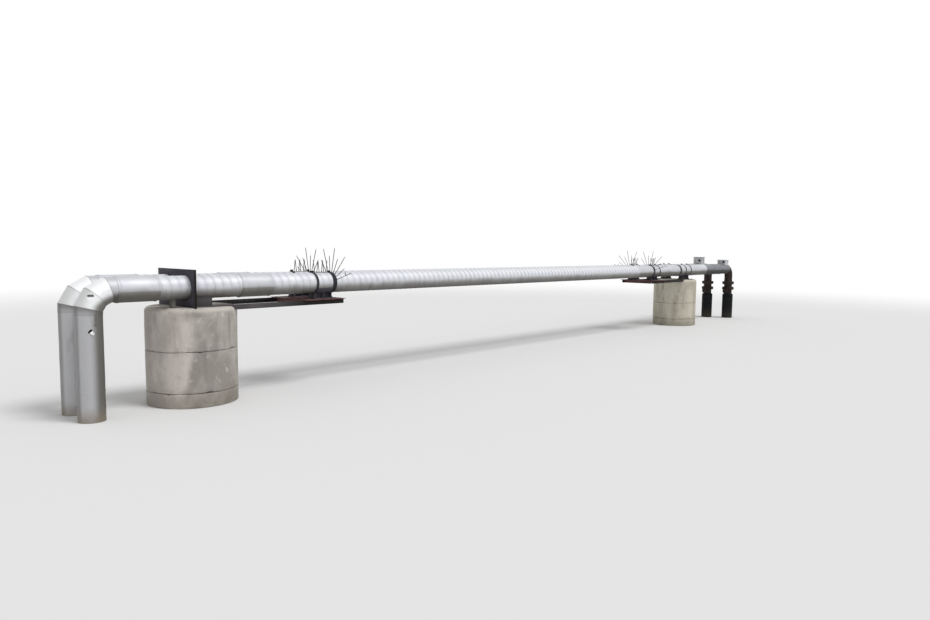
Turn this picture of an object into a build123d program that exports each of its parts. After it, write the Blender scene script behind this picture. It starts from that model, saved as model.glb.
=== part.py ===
from build123d import *
import math
import os

# A pair of insulated pipes that crosses a stream on two round concrete piers.
# Millimetres. X runs along the pipes from the left riser to the right one, Y away from the viewer,
# Z up, with the origin on the ground in the middle of the whole bridge.

# Heights and spacings of the whole bridge
AXIS_HEIGHT = 1800.0
RISER_SPAN = 22000.0
PIPE_SPACING = 620.0
LEFT_PIER_STATION = 1615.0
RIGHT_PIER_SETBACK = 3680.0
RIGHT_PIER_STATION = RISER_SPAN - RIGHT_PIER_SETBACK
FAR_END_SETBACK = 350.0

# Steel carrier pipe
CARRIER_OD = 273.0
CARRIER_WALL = 6.3
LEFT_BEND_RADIUS = 340.0
RIGHT_BEND_RADIUS = 254.0
SLIP = 0.3

# Insulated jackets, each length named by the station where it ends
JACKET_OD = 355.0
SHEET_OD = 357.0
SLEEVE_OD = 372.0
COLLAR_STATION = 375.0
SLEEVE_STATION = 930.0
MUFF_START_STATION = 2220.0
MUFF_END_STATION = 2800.0
SPIRAL_SETBACK = 3270.0
SPIRAL_STATION = RIGHT_PIER_STATION - SPIRAL_SETBACK
SHEET_SETBACK = 2290.0
SHEET_STATION = RISER_SPAN - SHEET_SETBACK
JACKET_LAP = 20.0
BEAD_HEIGHT = 6.0
BEAD_WIDTH = 18.0
BEAD_INSET = 26.0
MITRE_STEP = 30.0
SEAM_RISE = 5.0
SEAM_WIDTH = 12.0
BAND_WIDTH = 110.0
BAND_RISE = 7.0

# Damage on the near riser
SLOT_LENGTH = 92.0
SLOT_WIDTH = 44.0
SLOT_BEND_ANGLE = 38.0
SLOT_SIDE_ANGLE = 38.0
TEAR_DROP = 211.0
TEAR_HEIGHT = AXIS_HEIGHT - LEFT_BEND_RADIUS - TEAR_DROP
TEAR_DIRECTION = -100.0
TEAR_WIDTH = 96.0
TEAR_TALL = 74.0
POCKET_DEPTH = 16.0

# Right legs
SPOOL_WALL = 8.0
FLANGE_OD = 405.0
FLANGE_THICKNESS = 26.0
NECK_OD = 306.0
NECK_HEIGHT = 44.0
UPPER_FLANGE_DROP = 520.0
SPOOL_LENGTH = 200.0
UPPER_FLANGE_HEIGHT = AXIS_HEIGHT - UPPER_FLANGE_DROP
LOWER_FLANGE_HEIGHT = UPPER_FLANGE_HEIGHT - SPOOL_LENGTH
BEND_TANGENT = 60.0
DRAIN_DROP = 95.0
DRAIN_HEIGHT = LOWER_FLANGE_HEIGHT - DRAIN_DROP
DRAIN_OD = 60.3
DRAIN_REACH = 130.0
DRAIN_FLANGE_OD = 165.0
DRAIN_FLANGE_THICKNESS = 18.0
DRAIN_GROOVE = 3.0
WRAP_OD = 370.0
WRAP_GAP = 200.0
WRAP_TOP = LOWER_FLANGE_HEIGHT - WRAP_GAP
WRAP_TAPER = 34.0
WRAP_TIE_SPACING = 240.0
WRAP_TIE_DEPTH = 9.0
WRAP_TIE_WIDTH = 40.0

# Vent housings on the right end
VENT_LENGTH = 270.0
VENT_WIDTH = 290.0
NEAR_VENT_HEIGHT = 130.0
FAR_VENT_HEIGHT = 225.0
NEAR_VENT_SETBACK = 550.0
FAR_VENT_SETBACK = 1180.0
VENT_LID_THICKNESS = 14.0
VENT_LID_LIP = 18.0
VENT_SKIRT = 55.0
VENT_HOLE_OD = 84.0
VENT_HOLE_SHIFT = 70.0
VENT_DOOR_INSET = 30.0
VENT_DOOR_DEPTH = 4.0

# Concrete piers
PIER_OD = 1360.0
AXIS_OVER_PIER = 300.0
PIER_TOP = AXIS_HEIGHT - AXIS_OVER_PIER
LEFT_RING_TOP = 845.0
RIGHT_RING_TOP = 740.0
FOOT_TOP = 220.0
PIER_EDGE_RADIUS = 70.0
JOINT_CHAMFER = 12.0

# Anchor plate across both pipes on the left pier
PLATE_STATION = 1390.0
PLATE_THICKNESS = 30.0
PLATE_WIDTH = 1200.0
PLATE_RISE = 270.0
PLATE_TOP = AXIS_HEIGHT + PLATE_RISE
PLATE_BEDDING = 40.0
PLATE_HOLE_CLEARANCE = 12.0
ANCHOR_LENGTH = 300.0
ANCHOR_WIDTH = 210.0
ANCHOR_GAP = 40.0
PACKING_STATION = 1172.0
PACKING_LENGTH = 55.0
PACKING_WIDTH = 90.0

# Cantilever frames, measured from each pier's centre towards the span
BEAM_DEPTH = 80.0
BEAM_FLANGE = 45.0
BEAM_WEB = 6.0
BEAM_LIP = 8.0
BEAM_OFFSET = 500.0
BEAM_PROUD = 15.0
BEAM_TIP = 2580.0
RIGHT_BEAM_TAIL = 245.0
DECK_LENGTH = 820.0
DECK_WIDTH = 1120.0
DECK_THICKNESS = 10.0
CROSS_INSET = 60.0
STRAP_NEAR = 2042.0
STRAP_FAR = 2392.0
STRAP_WIDTH = 50.0
STRAP_THICKNESS = 6.0
STRAP_EAR = 34.0
STRAP_EAR_THICKNESS = 12.0
SHOE_BASE_WIDTH = 240.0
SHOE_BASE_THICKNESS = 12.0
SHOE_WEB = 12.0
SHOE_WEB_WIDTH = 170.0
SHOE_CRADLE_THICKNESS = 8.0
SHOE_CRADLE_ANGLE = 124.0

# Sliding saddles on the right pier
SADDLE_OFFSET = 40.0
SADDLE_HALF_LENGTH = 185.0
PIER_BAND_OFFSET = 600.0

# Climb guards beside the outer straps
GUARD_RING_WIDTH = 26.0
GUARD_RING_THICKNESS = 8.0
GUARD_GAP = 4.0
ROD_WIDTH = 12.0
ROD_LONG = 450.0
ROD_SHORT = 300.0
ROD_COUNT = 8
FAN_START = 17.0
FAN_END = 124.0
COMB_COUNT = 6
COMB_ROD = 225.0
COMB_BAR_WIDTH = 30.0
COMB_BAR_THICKNESS = 6.0
COMB_TILT = 9.0

# The bridge's middle, so that the origin lies under it
LEFT_REACH = JACKET_OD / 2
RIGHT_REACH = max(FLANGE_OD, WRAP_OD) / 2
MIDDLE = (RISER_SPAN + RIGHT_REACH - LEFT_REACH) / 2

CARRIER_RADIUS = CARRIER_OD / 2
CORE_OD = CARRIER_OD + 2 * SLIP
RIGHT_END_STATION = RISER_SPAN - RIGHT_BEND_RADIUS - BEND_TANGENT
LEFT_BEAM_TAIL = LEFT_PIER_STATION - PLATE_STATION - PLATE_THICKNESS / 2
BEAM_TOP = PIER_TOP + BEAM_PROUD
BEAM_BOTTOM = BEAM_TOP - BEAM_DEPTH
DECK_TOP = BEAM_TOP + DECK_THICKNESS


def round_bar(start, end, diameter):
    """Round bar on the pipe axis, from one station to another."""
    bar = Cylinder(diameter / 2, end - start, align=(Align.CENTER, Align.CENTER, Align.MIN))
    return Pos(start, 0, AXIS_HEIGHT) * Rot(0, 90, 0) * bar


def round_tube(start, end, outer, inner):
    return round_bar(start, end, outer) - round_bar(start, end, inner)


def upright_bar(bottom, top, diameter, station=0.0):
    bar = Cylinder(diameter / 2, top - bottom, align=(Align.CENTER, Align.CENTER, Align.MIN))
    return Pos(station, 0, bottom) * bar


def upright_tube(bottom, top, outer, inner, station=0.0):
    return upright_bar(bottom, top, outer, station) - upright_bar(bottom, top, inner, station)


def block(low, high):
    """Box between two opposite corners."""
    size = [b - a for a, b in zip(low, high)]
    return Pos(*low) * Box(*size, align=(Align.MIN, Align.MIN, Align.MIN))


def bead(middle, diameter):
    """Swaged rib round a jacket: a low ring with sloping sides."""
    half, top = BEAD_WIDTH / 2, BEAD_WIDTH / 6
    base, crest = diameter / 2 - BEAD_HEIGHT, diameter / 2 + BEAD_HEIGHT
    points = [(-half, base), (-half, diameter / 2), (-top, crest)]
    points += [(top, crest), (half, diameter / 2), (half, base)]
    outline = make_face(Polyline(*[(middle + x, 0, AXIS_HEIGHT + r) for x, r in points], close=True))
    return revolve(outline, Axis((0, 0, AXIS_HEIGHT), (1, 0, 0)), 360)


def jacket(start, end, diameter, beads=()):
    """One length of insulated jacket round the carrier, with its swaged ribs."""
    shape = round_tube(start, end, diameter, CORE_OD)
    for station in beads:
        shape += bead(station, diameter)
    return shape


def right_bend(outer, inner):
    """Smooth quarter bend of the right leg, turned about the bend's centre."""
    centre = Vector(RISER_SPAN - RIGHT_BEND_RADIUS, 0, AXIS_HEIGHT - RIGHT_BEND_RADIUS)
    section = Plane(origin=centre + Vector(RIGHT_BEND_RADIUS, 0, 0)) * (Circle(outer / 2) - Circle(inner / 2))
    return revolve(section, Axis(centre, (0, -1, 0)), 90)


def left_bend_centre():
    return (LEFT_BEND_RADIUS, AXIS_HEIGHT - LEFT_BEND_RADIUS)


def mitre_angles():
    count = int(round(90 / MITRE_STEP))
    return [MITRE_STEP * (i + 0.5) for i in range(count)]


def mitred_bar(diameter):
    """The left bend as straight lengths that meet at mitre joints."""
    centre_x, centre_z = left_bend_centre()
    reach = LEFT_BEND_RADIUS / math.cos(math.radians(MITRE_STEP / 2))
    corners = [(0, 0, centre_z)]
    for angle in mitre_angles():
        lean = math.radians(angle)
        corners.append((centre_x - reach * math.cos(lean), 0, centre_z + reach * math.sin(lean)))
    corners.append((centre_x, 0, AXIS_HEIGHT))
    section = Plane(origin=corners[0], z_dir=(0, 0, 1)) * Circle(diameter / 2)
    return sweep(section, Polyline(*corners), transition=Transition.RIGHT)


def smooth_left_bar(diameter):
    """Quarter bend of the steel pipe inside the mitred jacket."""
    centre = Vector(LEFT_BEND_RADIUS, 0, AXIS_HEIGHT - LEFT_BEND_RADIUS)
    section = Plane(origin=centre - Vector(LEFT_BEND_RADIUS, 0, 0)) * Circle(diameter / 2)
    return revolve(section, Axis(centre, (0, 1, 0)), 90)


def mitre_seams():
    """Raised seams at the mitre joints: slices of a slightly wider bend."""
    centre_x, centre_z = left_bend_centre()
    size = LEFT_BEND_RADIUS + JACKET_OD
    slices = []
    for angle in mitre_angles():
        slab = Pos(-size / 2, 0, 0) * Box(size, JACKET_OD + 4 * SEAM_RISE, SEAM_WIDTH)
        slices.append(Pos(centre_x, 0, centre_z) * Rot(0, angle, 0) * slab)
    wide = mitred_bar(JACKET_OD + 2 * SEAM_RISE)
    return [wide & part for part in slices]


def elbow_jacket():
    shape = mitred_bar(JACKET_OD)
    for seam in mitre_seams():
        shape += seam
    return shape - smooth_left_bar(CORE_OD)


def pocket(point, outward, outline, depth):
    """A shallow cut into a skin at a point, with the outline's first side level."""
    plane = Plane(origin=point, x_dir=Vector(*outward).cross(Vector(0, 0, 1)), z_dir=outward)
    return extrude(plane * outline, amount=depth, both=True)


def slot_pocket():
    """Oval slot in the lower mitred piece of the near bend."""
    centre_x, centre_z = left_bend_centre()
    lean = math.radians(SLOT_BEND_ANGLE)
    side = math.radians(SLOT_SIDE_ANGLE)
    out = JACKET_OD / 2 * math.sin(side) + LEFT_BEND_RADIUS
    point_x = centre_x - out * math.cos(lean)
    point_z = centre_z + out * math.sin(lean)
    point = (point_x, -JACKET_OD / 2 * math.cos(side), point_z)
    outward = (-math.sin(side) * math.cos(lean), -math.cos(side), math.sin(side) * math.sin(lean))
    return pocket(point, outward, SlotOverall(SLOT_LENGTH, SLOT_WIDTH), POCKET_DEPTH)


def tear_pocket():
    """Ragged hole torn in the near riser's jacket."""
    lean = math.radians(TEAR_DIRECTION)
    outward = (math.cos(lean), math.sin(lean), 0)
    point = (JACKET_OD / 2 * outward[0], JACKET_OD / 2 * outward[1], TEAR_HEIGHT)
    half, tall = TEAR_WIDTH / 2, TEAR_TALL / 2
    corners = [(-half, -tall / 3), (-half / 2, -tall), (half / 3, -tall / 2), (half, -tall)]
    corners += [(half * 2 / 3, tall / 3), (half / 4, tall)]
    corners += [(-half / 3, tall / 2), (-half * 4 / 5, tall * 4 / 5)]
    return pocket(point, outward, make_face(Polyline(*corners, close=True)), POCKET_DEPTH)


def left_leg():
    return upright_tube(0, left_bend_centre()[1], CARRIER_OD, CARRIER_OD - 2 * CARRIER_WALL)


def riser_jacket():
    return upright_tube(0, left_bend_centre()[1], JACKET_OD, CORE_OD)


def carrier_pipe(end):
    """The steel pipe inside the jackets: smooth left bend and straight run."""
    inner = CARRIER_OD - 2 * CARRIER_WALL
    run = round_tube(LEFT_BEND_RADIUS, end, CARRIER_OD, inner)
    return run + (smooth_left_bar(CARRIER_OD) - smooth_left_bar(inner))


def flange(face, direction):
    """Welding-neck flange on the right leg, with its face at a height and its neck up or down."""
    rim = [(0, 0), (FLANGE_OD / 2, 0), (FLANGE_OD / 2, FLANGE_THICKNESS), (NECK_OD / 2, FLANGE_THICKNESS)]
    rim += [(CARRIER_RADIUS, FLANGE_THICKNESS + NECK_HEIGHT), (0, FLANGE_THICKNESS + NECK_HEIGHT)]
    points = [(RISER_SPAN + r, 0, face + direction * h) for r, h in rim]
    return revolve(make_face(Polyline(*points, close=True)), Axis((RISER_SPAN, 0, 0), (0, 0, 1)), 360)


def right_elbow():
    """Bare steel bend at the right end, with its drop and upper flange."""
    inner = CARRIER_OD - 2 * CARRIER_WALL
    bottom = AXIS_HEIGHT - RIGHT_BEND_RADIUS
    shape = upright_bar(UPPER_FLANGE_HEIGHT, bottom, CARRIER_OD, RISER_SPAN) + flange(UPPER_FLANGE_HEIGHT, 1)
    shape -= upright_bar(UPPER_FLANGE_HEIGHT, bottom, inner, RISER_SPAN)
    shape += right_bend(CARRIER_OD, inner)
    return shape + round_tube(RIGHT_END_STATION, RISER_SPAN - RIGHT_BEND_RADIUS, CARRIER_OD, inner)


def flanged_spool():
    """Short make-up piece between the two flange joints."""
    inner = CARRIER_OD - 2 * SPOOL_WALL
    shape = upright_bar(LOWER_FLANGE_HEIGHT, UPPER_FLANGE_HEIGHT, CARRIER_OD, RISER_SPAN)
    shape += flange(UPPER_FLANGE_HEIGHT, -1) + flange(LOWER_FLANGE_HEIGHT, 1)
    return shape - upright_bar(LOWER_FLANGE_HEIGHT, UPPER_FLANGE_HEIGHT, inner, RISER_SPAN)


def drain_branch():
    """Short drain pipe towards the span, closed by a blank flange."""
    rim, stub = DRAIN_FLANGE_OD / 2, DRAIN_OD / 2
    seat = CARRIER_RADIUS * 0.9
    face = CARRIER_RADIUS + DRAIN_REACH
    rear = face - DRAIN_FLANGE_THICKNESS
    cover = face + DRAIN_GROOVE
    steps = [(seat, 0), (seat, stub), (rear, stub), (rear, rim)]
    steps += [(face, rim), (face, rim * 0.7), (cover, rim * 0.7)]
    steps += [(cover, rim), (cover + DRAIN_FLANGE_THICKNESS, rim), (cover + DRAIN_FLANGE_THICKNESS, 0)]
    points = [(RISER_SPAN - x, 0, DRAIN_HEIGHT + r) for x, r in steps]
    return revolve(make_face(Polyline(*points, close=True)), Axis((0, 0, DRAIN_HEIGHT), (1, 0, 0)), 360)


def right_leg():
    """Lower right leg: flange, pipe down to the ground, and drain branch."""
    shape = upright_bar(0, LOWER_FLANGE_HEIGHT, CARRIER_OD, RISER_SPAN)
    shape += flange(LOWER_FLANGE_HEIGHT, -1) + drain_branch()
    return shape - upright_bar(0, LOWER_FLANGE_HEIGHT, CARRIER_OD - 2 * CARRIER_WALL, RISER_SPAN)


def foot_wrap():
    """Felt wrapping round the foot of a right leg, drawn in where it is tied."""
    outer, inner = WRAP_OD / 2, CORE_OD / 2
    outline = [(inner, 0), (outer, 0)]
    for i in range(1, int(WRAP_TOP / WRAP_TIE_SPACING)):
        height = i * WRAP_TIE_SPACING
        outline += [(outer, height - WRAP_TIE_WIDTH), (outer - WRAP_TIE_DEPTH, height)]
        outline += [(outer, height + WRAP_TIE_WIDTH)]
    outline += [(outer, WRAP_TOP - WRAP_TAPER), (outer - WRAP_TAPER, WRAP_TOP), (inner, WRAP_TOP)]
    points = [(RISER_SPAN + r, 0, h) for r, h in outline]
    return revolve(make_face(Polyline(*points, close=True)), Axis((RISER_SPAN, 0, 0), (0, 0, 1)), 360)


def vent_box(setback, height):
    """Sheet housing on top of the right jacket, with a lid, a door and a hole towards the span."""
    middle = RISER_SPAN - setback
    crown = AXIS_HEIGHT + SHEET_OD / 2
    top = crown + height
    half_x, half_y = VENT_LENGTH / 2, VENT_WIDTH / 2
    shape = block((middle - half_x, -half_y, crown - VENT_SKIRT), (middle + half_x, half_y, top))
    lid_x, lid_y = half_x + VENT_LID_LIP, half_y + VENT_LID_LIP
    shape += block((middle - lid_x, -lid_y, top), (middle + lid_x, lid_y, top + VENT_LID_THICKNESS))
    door_x = half_x - VENT_DOOR_INSET
    door_low, door_high = crown + VENT_DOOR_INSET, top - VENT_DOOR_INSET
    door = (middle - door_x, -half_y - 1, door_low)
    shape -= block(door, (middle + door_x, -half_y + VENT_DOOR_DEPTH, door_high))
    hole = Pos(middle - half_x, -VENT_HOLE_SHIFT, (door_low + door_high) / 2) * Rot(0, 90, 0)
    shape -= hole * Cylinder(VENT_HOLE_OD / 2, 2 * POCKET_DEPTH)
    return shape - round_bar(middle - half_x, middle + half_x, SHEET_OD + 2 * SLIP)


def pier_drum(bottom, top, round_top):
    """One precast ring of a pier, with eased edges."""
    shape = Cylinder(PIER_OD / 2, top - bottom, align=(Align.CENTER, Align.CENTER, Align.MIN))
    rims = shape.edges().filter_by(GeomType.CIRCLE).sort_by(Axis.Z)
    if round_top:
        shape = fillet(rims[-1], PIER_EDGE_RADIUS)
    else:
        shape = chamfer(rims[-1], JOINT_CHAMFER)
    if bottom > 0:
        low = shape.edges().filter_by(GeomType.CIRCLE).sort_by(Axis.Z)[0]
        shape = chamfer(low, JOINT_CHAMFER)
    return Pos(0, 0, bottom) * shape


def beam_slots(tail):
    """Grooves in a pier's top that the two frame beams are bedded in."""
    grooves = Part()
    for side in (-1, 1):
        web = side * BEAM_OFFSET
        low, high = sorted((web, web - side * BEAM_FLANGE))
        grooves += block((-tail, low, BEAM_BOTTOM), (PIER_OD, high, PIER_TOP + BEAM_DEPTH))
    return grooves


def plate_slot():
    offset = PLATE_STATION - LEFT_PIER_STATION
    half = PLATE_THICKNESS / 2
    low = (offset - half, -PLATE_WIDTH / 2, PIER_TOP - PLATE_BEDDING)
    return block(low, (offset + half, PLATE_WIDTH / 2, PIER_TOP + PLATE_BEDDING))


def channel(start, end, web_y, side):
    """Rolled channel along X with its web at web_y and its flanges towards the middle."""
    low, high = sorted((web_y, web_y - side * BEAM_FLANGE))
    shape = block((start, low, BEAM_BOTTOM), (end, high, BEAM_TOP))
    inner_low, inner_high = sorted((web_y - side * BEAM_WEB, web_y - side * (BEAM_FLANGE + 1)))
    hollow = block((start, inner_low, BEAM_BOTTOM + BEAM_LIP), (end, inner_high, BEAM_TOP - BEAM_LIP))
    return shape - hollow


def frame_beams(tail):
    return [channel(-tail, BEAM_TIP, side * BEAM_OFFSET, side) for side in (-1, 1)]


def frame_deck():
    """Deck plate on the beams' tips, with the cross channels that stiffen them."""
    start = BEAM_TIP - DECK_LENGTH
    shape = block((start, -DECK_WIDTH / 2, BEAM_TOP), (BEAM_TIP, DECK_WIDTH / 2, DECK_TOP))
    reach = BEAM_OFFSET - BEAM_FLANGE
    for middle in (start + CROSS_INSET, BEAM_TIP - CROSS_INSET):
        bar = block((middle, -reach, BEAM_BOTTOM), (middle + BEAM_WEB, reach, BEAM_TOP))
        foot = block((middle, -reach, BEAM_BOTTOM), (middle + BEAM_FLANGE, reach, BEAM_BOTTOM + BEAM_LIP))
        shape += bar + foot
    return shape


def strap(middle, diameter, width=STRAP_WIDTH):
    """Flat steel band round a jacket, with the two bolted ears on top."""
    start, end = middle - width / 2, middle + width / 2
    inner = diameter + 2 * SLIP
    shape = round_tube(start, end, inner + 2 * STRAP_THICKNESS, inner)
    crown = AXIS_HEIGHT + inner / 2
    ear_top = crown + STRAP_THICKNESS + STRAP_EAR
    half = STRAP_EAR_THICKNESS
    return shape + block((start, -half, crown + STRAP_THICKNESS / 2), (end, half, ear_top))


def cradle(start, end, diameter):
    """Curved plate under a jacket."""
    inner = diameter + 2 * SLIP
    outer = inner + 2 * SHOE_CRADLE_THICKNESS
    half = math.radians(SHOE_CRADLE_ANGLE / 2)
    wide, deep = outer * math.sin(half), outer * math.cos(half)
    corners = [(0, 0), (-wide, -deep), (-wide, -outer), (wide, -outer), (wide, -deep)]
    wedge = make_face(Polyline(*corners, close=True))
    plane = Plane(origin=(start, 0, AXIS_HEIGHT), x_dir=(0, 1, 0), z_dir=(1, 0, 0))
    return round_tube(start, end, outer, inner) & extrude(plane * wedge, amount=end - start)


def shoe(middle, half_length, floor, diameter):
    """Pipe shoe: base plate, upright webs, and the cradle between the two straps."""
    reach = half_length + STRAP_WIDTH / 2
    base_top = floor + SHOE_BASE_THICKNESS
    half_base, half_web = SHOE_BASE_WIDTH / 2, SHOE_WEB_WIDTH / 2
    shape = block((middle - reach, -half_base, floor), (middle + reach, half_base, base_top))
    spine = block((middle - reach, -SHOE_WEB / 2, base_top), (middle + reach, SHOE_WEB / 2, AXIS_HEIGHT))
    for place in (-half_length, 0, half_length):
        low = (middle + place - SHOE_WEB / 2, -half_web, base_top)
        spine += block(low, (middle + place + SHOE_WEB / 2, half_web, AXIS_HEIGHT))
    edge = half_length - STRAP_WIDTH / 2 - SLIP
    inner = diameter + 2 * SLIP
    strap_outer = inner + 2 * STRAP_THICKNESS + 2 * SLIP
    spine -= round_bar(middle - 2 * reach, middle + 2 * reach, strap_outer)
    shape += spine
    shape += cradle(middle - edge, middle + edge, diameter)
    return shape


def anchor_saddle():
    """Block that carries a pipe behind the anchor plate."""
    start = PLATE_STATION + PLATE_THICKNESS / 2 + ANCHOR_GAP
    half = ANCHOR_WIDTH / 2
    shape = block((start, -half, PIER_TOP), (start + ANCHOR_LENGTH, half, AXIS_HEIGHT))
    return shape - round_bar(start, start + ANCHOR_LENGTH, JACKET_OD + 2 * SLIP)


def packing_block():
    """Block under the near pipe in front of the anchor plate."""
    half = PACKING_LENGTH / 2
    low = (PACKING_STATION - half, -PACKING_WIDTH / 2, PIER_TOP)
    shape = block(low, (PACKING_STATION + half, PACKING_WIDTH / 2, AXIS_HEIGHT))
    shape -= round_bar(PACKING_STATION - half, PACKING_STATION + half, JACKET_OD + 2 * SLIP)
    return Pos(0, -PIPE_SPACING / 2, 0) * shape


def anchor_plate():
    start = PLATE_STATION - PLATE_THICKNESS / 2
    end = start + PLATE_THICKNESS
    half = PLATE_WIDTH / 2
    shape = block((start, -half, PIER_TOP - PLATE_BEDDING), (end, half, PLATE_TOP))
    for side in (-1, 1):
        hole = round_bar(start, end, JACKET_OD + 2 * PLATE_HOLE_CLEARANCE)
        shape -= Pos(0, side * PIPE_SPACING / 2, 0) * hole
    return shape


def outward_from(lean):
    """Direction square to the pipe, leaning up by an angle from the near side."""
    angle = math.radians(lean)
    return Vector(0, -math.cos(angle), math.sin(angle))


def guard_rod(foot, outward, length):
    """Six-sided rod from a foot point."""
    plane = Plane(origin=foot, x_dir=(1, 0, 0), z_dir=outward)
    return extrude(plane * RegularPolygon(ROD_WIDTH / 2, 6), amount=length)


def guard_fan(station, diameter):
    """Ring clamp with a fan of rods round the near and upper side of a pipe."""
    inner = diameter + 2 * SLIP
    start, end = station - GUARD_RING_WIDTH / 2, station + GUARD_RING_WIDTH / 2
    shape = round_tube(start, end, inner + 2 * GUARD_RING_THICKNESS, inner)
    root = inner / 2 + GUARD_RING_THICKNESS / 2
    step = (FAN_END - FAN_START) / (ROD_COUNT - 1)
    for i in range(ROD_COUNT):
        outward = outward_from(FAN_START + i * step)
        foot = Vector(station, 0, AXIS_HEIGHT) + outward * root
        shape += guard_rod(foot, outward, ROD_SHORT if i % 2 else ROD_LONG)
    return shape


def guard_comb(start, end, diameter):
    """Bar along a pipe's crown with a row of upright rods."""
    crown = AXIS_HEIGHT + diameter / 2 + SLIP
    half = COMB_BAR_WIDTH / 2
    shape = block((start, -half, crown), (end, half, crown + COMB_BAR_THICKNESS))
    step = (end - start) / COMB_COUNT
    for i in range(COMB_COUNT):
        foot = Vector(start + (i + 0.5) * step, 0, crown + COMB_BAR_THICKNESS / 2)
        lean = 90 + (COMB_TILT if i % 2 else -COMB_TILT)
        shape += guard_rod(foot, outward_from(lean), COMB_ROD)
    return shape


def climb_guard(diameter):
    """Fan and comb on one pipe, measured from the pier's centre towards the span."""
    ring = STRAP_FAR + STRAP_WIDTH / 2 + GUARD_GAP + GUARD_RING_WIDTH / 2
    inner = STRAP_WIDTH / 2 + GUARD_GAP
    return [guard_fan(ring, diameter), guard_comb(STRAP_NEAR + inner, STRAP_FAR - inner, diameter)]


def on_both_pipes(shapes):
    """The same pieces on the near pipe and, mirrored, on the far pipe."""
    placed = []
    for shape in shapes:
        near = Pos(0, -PIPE_SPACING / 2, 0) * shape
        placed += [near, mirror(near, about=Plane.XZ)]
    return placed


def at_left_pier(shapes):
    return [Pos(LEFT_PIER_STATION, 0, 0) * shape for shape in shapes]


def at_right_pier(shapes):
    """Pieces of a frame turned round, so that they point back towards the span."""
    return [Pos(RIGHT_PIER_STATION, 0, 0) * mirror(shape, about=Plane.YZ) for shape in shapes]


def on_legs(shape):
    """The same round piece on the near leg and on the far one, which stands nearer to the span."""
    half = PIPE_SPACING / 2
    return [Pos(0, -half, 0) * shape, Pos(-FAR_END_SETBACK, half, 0) * shape]


def pier_nodes():
    left_cap = pier_drum(LEFT_RING_TOP, PIER_TOP, True) - beam_slots(LEFT_BEAM_TAIL) - plate_slot()
    right_cap = pier_drum(RIGHT_RING_TOP, PIER_TOP, True) - beam_slots(RIGHT_BEAM_TAIL)
    foot = pier_drum(0, FOOT_TOP, False)
    return {
        "left_pier_cap": at_left_pier([left_cap]),
        "left_pier_ring": at_left_pier([pier_drum(FOOT_TOP, LEFT_RING_TOP, False)]),
        "left_pier_foot": at_left_pier([foot]),
        "right_pier_cap": at_right_pier([right_cap]),
        "right_pier_ring": at_right_pier([pier_drum(FOOT_TOP, RIGHT_RING_TOP, False)]),
        "right_pier_foot": at_right_pier([foot]),
    }


def frame_nodes():
    middle = (STRAP_NEAR + STRAP_FAR) / 2
    half = (STRAP_FAR - STRAP_NEAR) / 2
    shoes = on_both_pipes([shoe(middle, half, DECK_TOP, JACKET_OD)])
    sheet_shoes = on_both_pipes([shoe(middle, half, DECK_TOP, SHEET_OD)])
    straps = on_both_pipes([strap(STRAP_NEAR, JACKET_OD), strap(STRAP_FAR, JACKET_OD)])
    sheet_straps = on_both_pipes([strap(STRAP_NEAR, SHEET_OD), strap(STRAP_FAR, SHEET_OD)])
    guards = on_both_pipes(climb_guard(JACKET_OD))
    sheet_guards = on_both_pipes(climb_guard(SHEET_OD))
    return {
        "left_frame_beams": at_left_pier(frame_beams(LEFT_BEAM_TAIL)),
        "left_frame_deck": at_left_pier([frame_deck()]),
        "left_frame_shoes": at_left_pier(shoes),
        "left_frame_straps": at_left_pier(straps),
        "right_frame_beams": at_right_pier(frame_beams(RIGHT_BEAM_TAIL)),
        "right_frame_deck": at_right_pier([frame_deck()]),
        "right_frame_shoes": at_right_pier(sheet_shoes),
        "right_frame_straps": at_right_pier(sheet_straps),
        "climb_guards": at_left_pier(guards) + at_right_pier(sheet_guards),
    }


def paired_nodes():
    """Like pieces of both pipes: supports on the piers, spools, wraps and vent boxes."""
    saddle = shoe(SADDLE_OFFSET, SADDLE_HALF_LENGTH, PIER_TOP, SHEET_OD)
    places = (SADDLE_OFFSET - SADDLE_HALF_LENGTH, SADDLE_OFFSET + SADDLE_HALF_LENGTH)
    bands = [strap(place, SHEET_OD) for place in places]
    bands.append(round_tube(*pier_band_ends(), SHEET_OD + 2 * (SLIP + BAND_RISE), SHEET_OD + 2 * SLIP))
    half = PIPE_SPACING / 2
    near_vent = Pos(0, -half, 0) * vent_box(NEAR_VENT_SETBACK, NEAR_VENT_HEIGHT)
    far_vent = Pos(0, half, 0) * vent_box(FAR_VENT_SETBACK, FAR_VENT_HEIGHT)
    return {
        "anchor_plate": [anchor_plate()],
        "anchor_saddles": on_both_pipes([anchor_saddle()]),
        "packing_block": [packing_block()],
        "pier_saddles": at_right_pier(on_both_pipes([saddle])),
        "pier_saddle_straps": at_right_pier(on_both_pipes(bands)),
        "flanged_spools": on_legs(flanged_spool()),
        "foot_wraps": on_legs(foot_wrap()),
        "vent_boxes": [near_vent, far_vent],
    }


def pier_band_ends():
    half = STRAP_WIDTH
    return PIER_BAND_OFFSET - half, PIER_BAND_OFFSET + half


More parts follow.
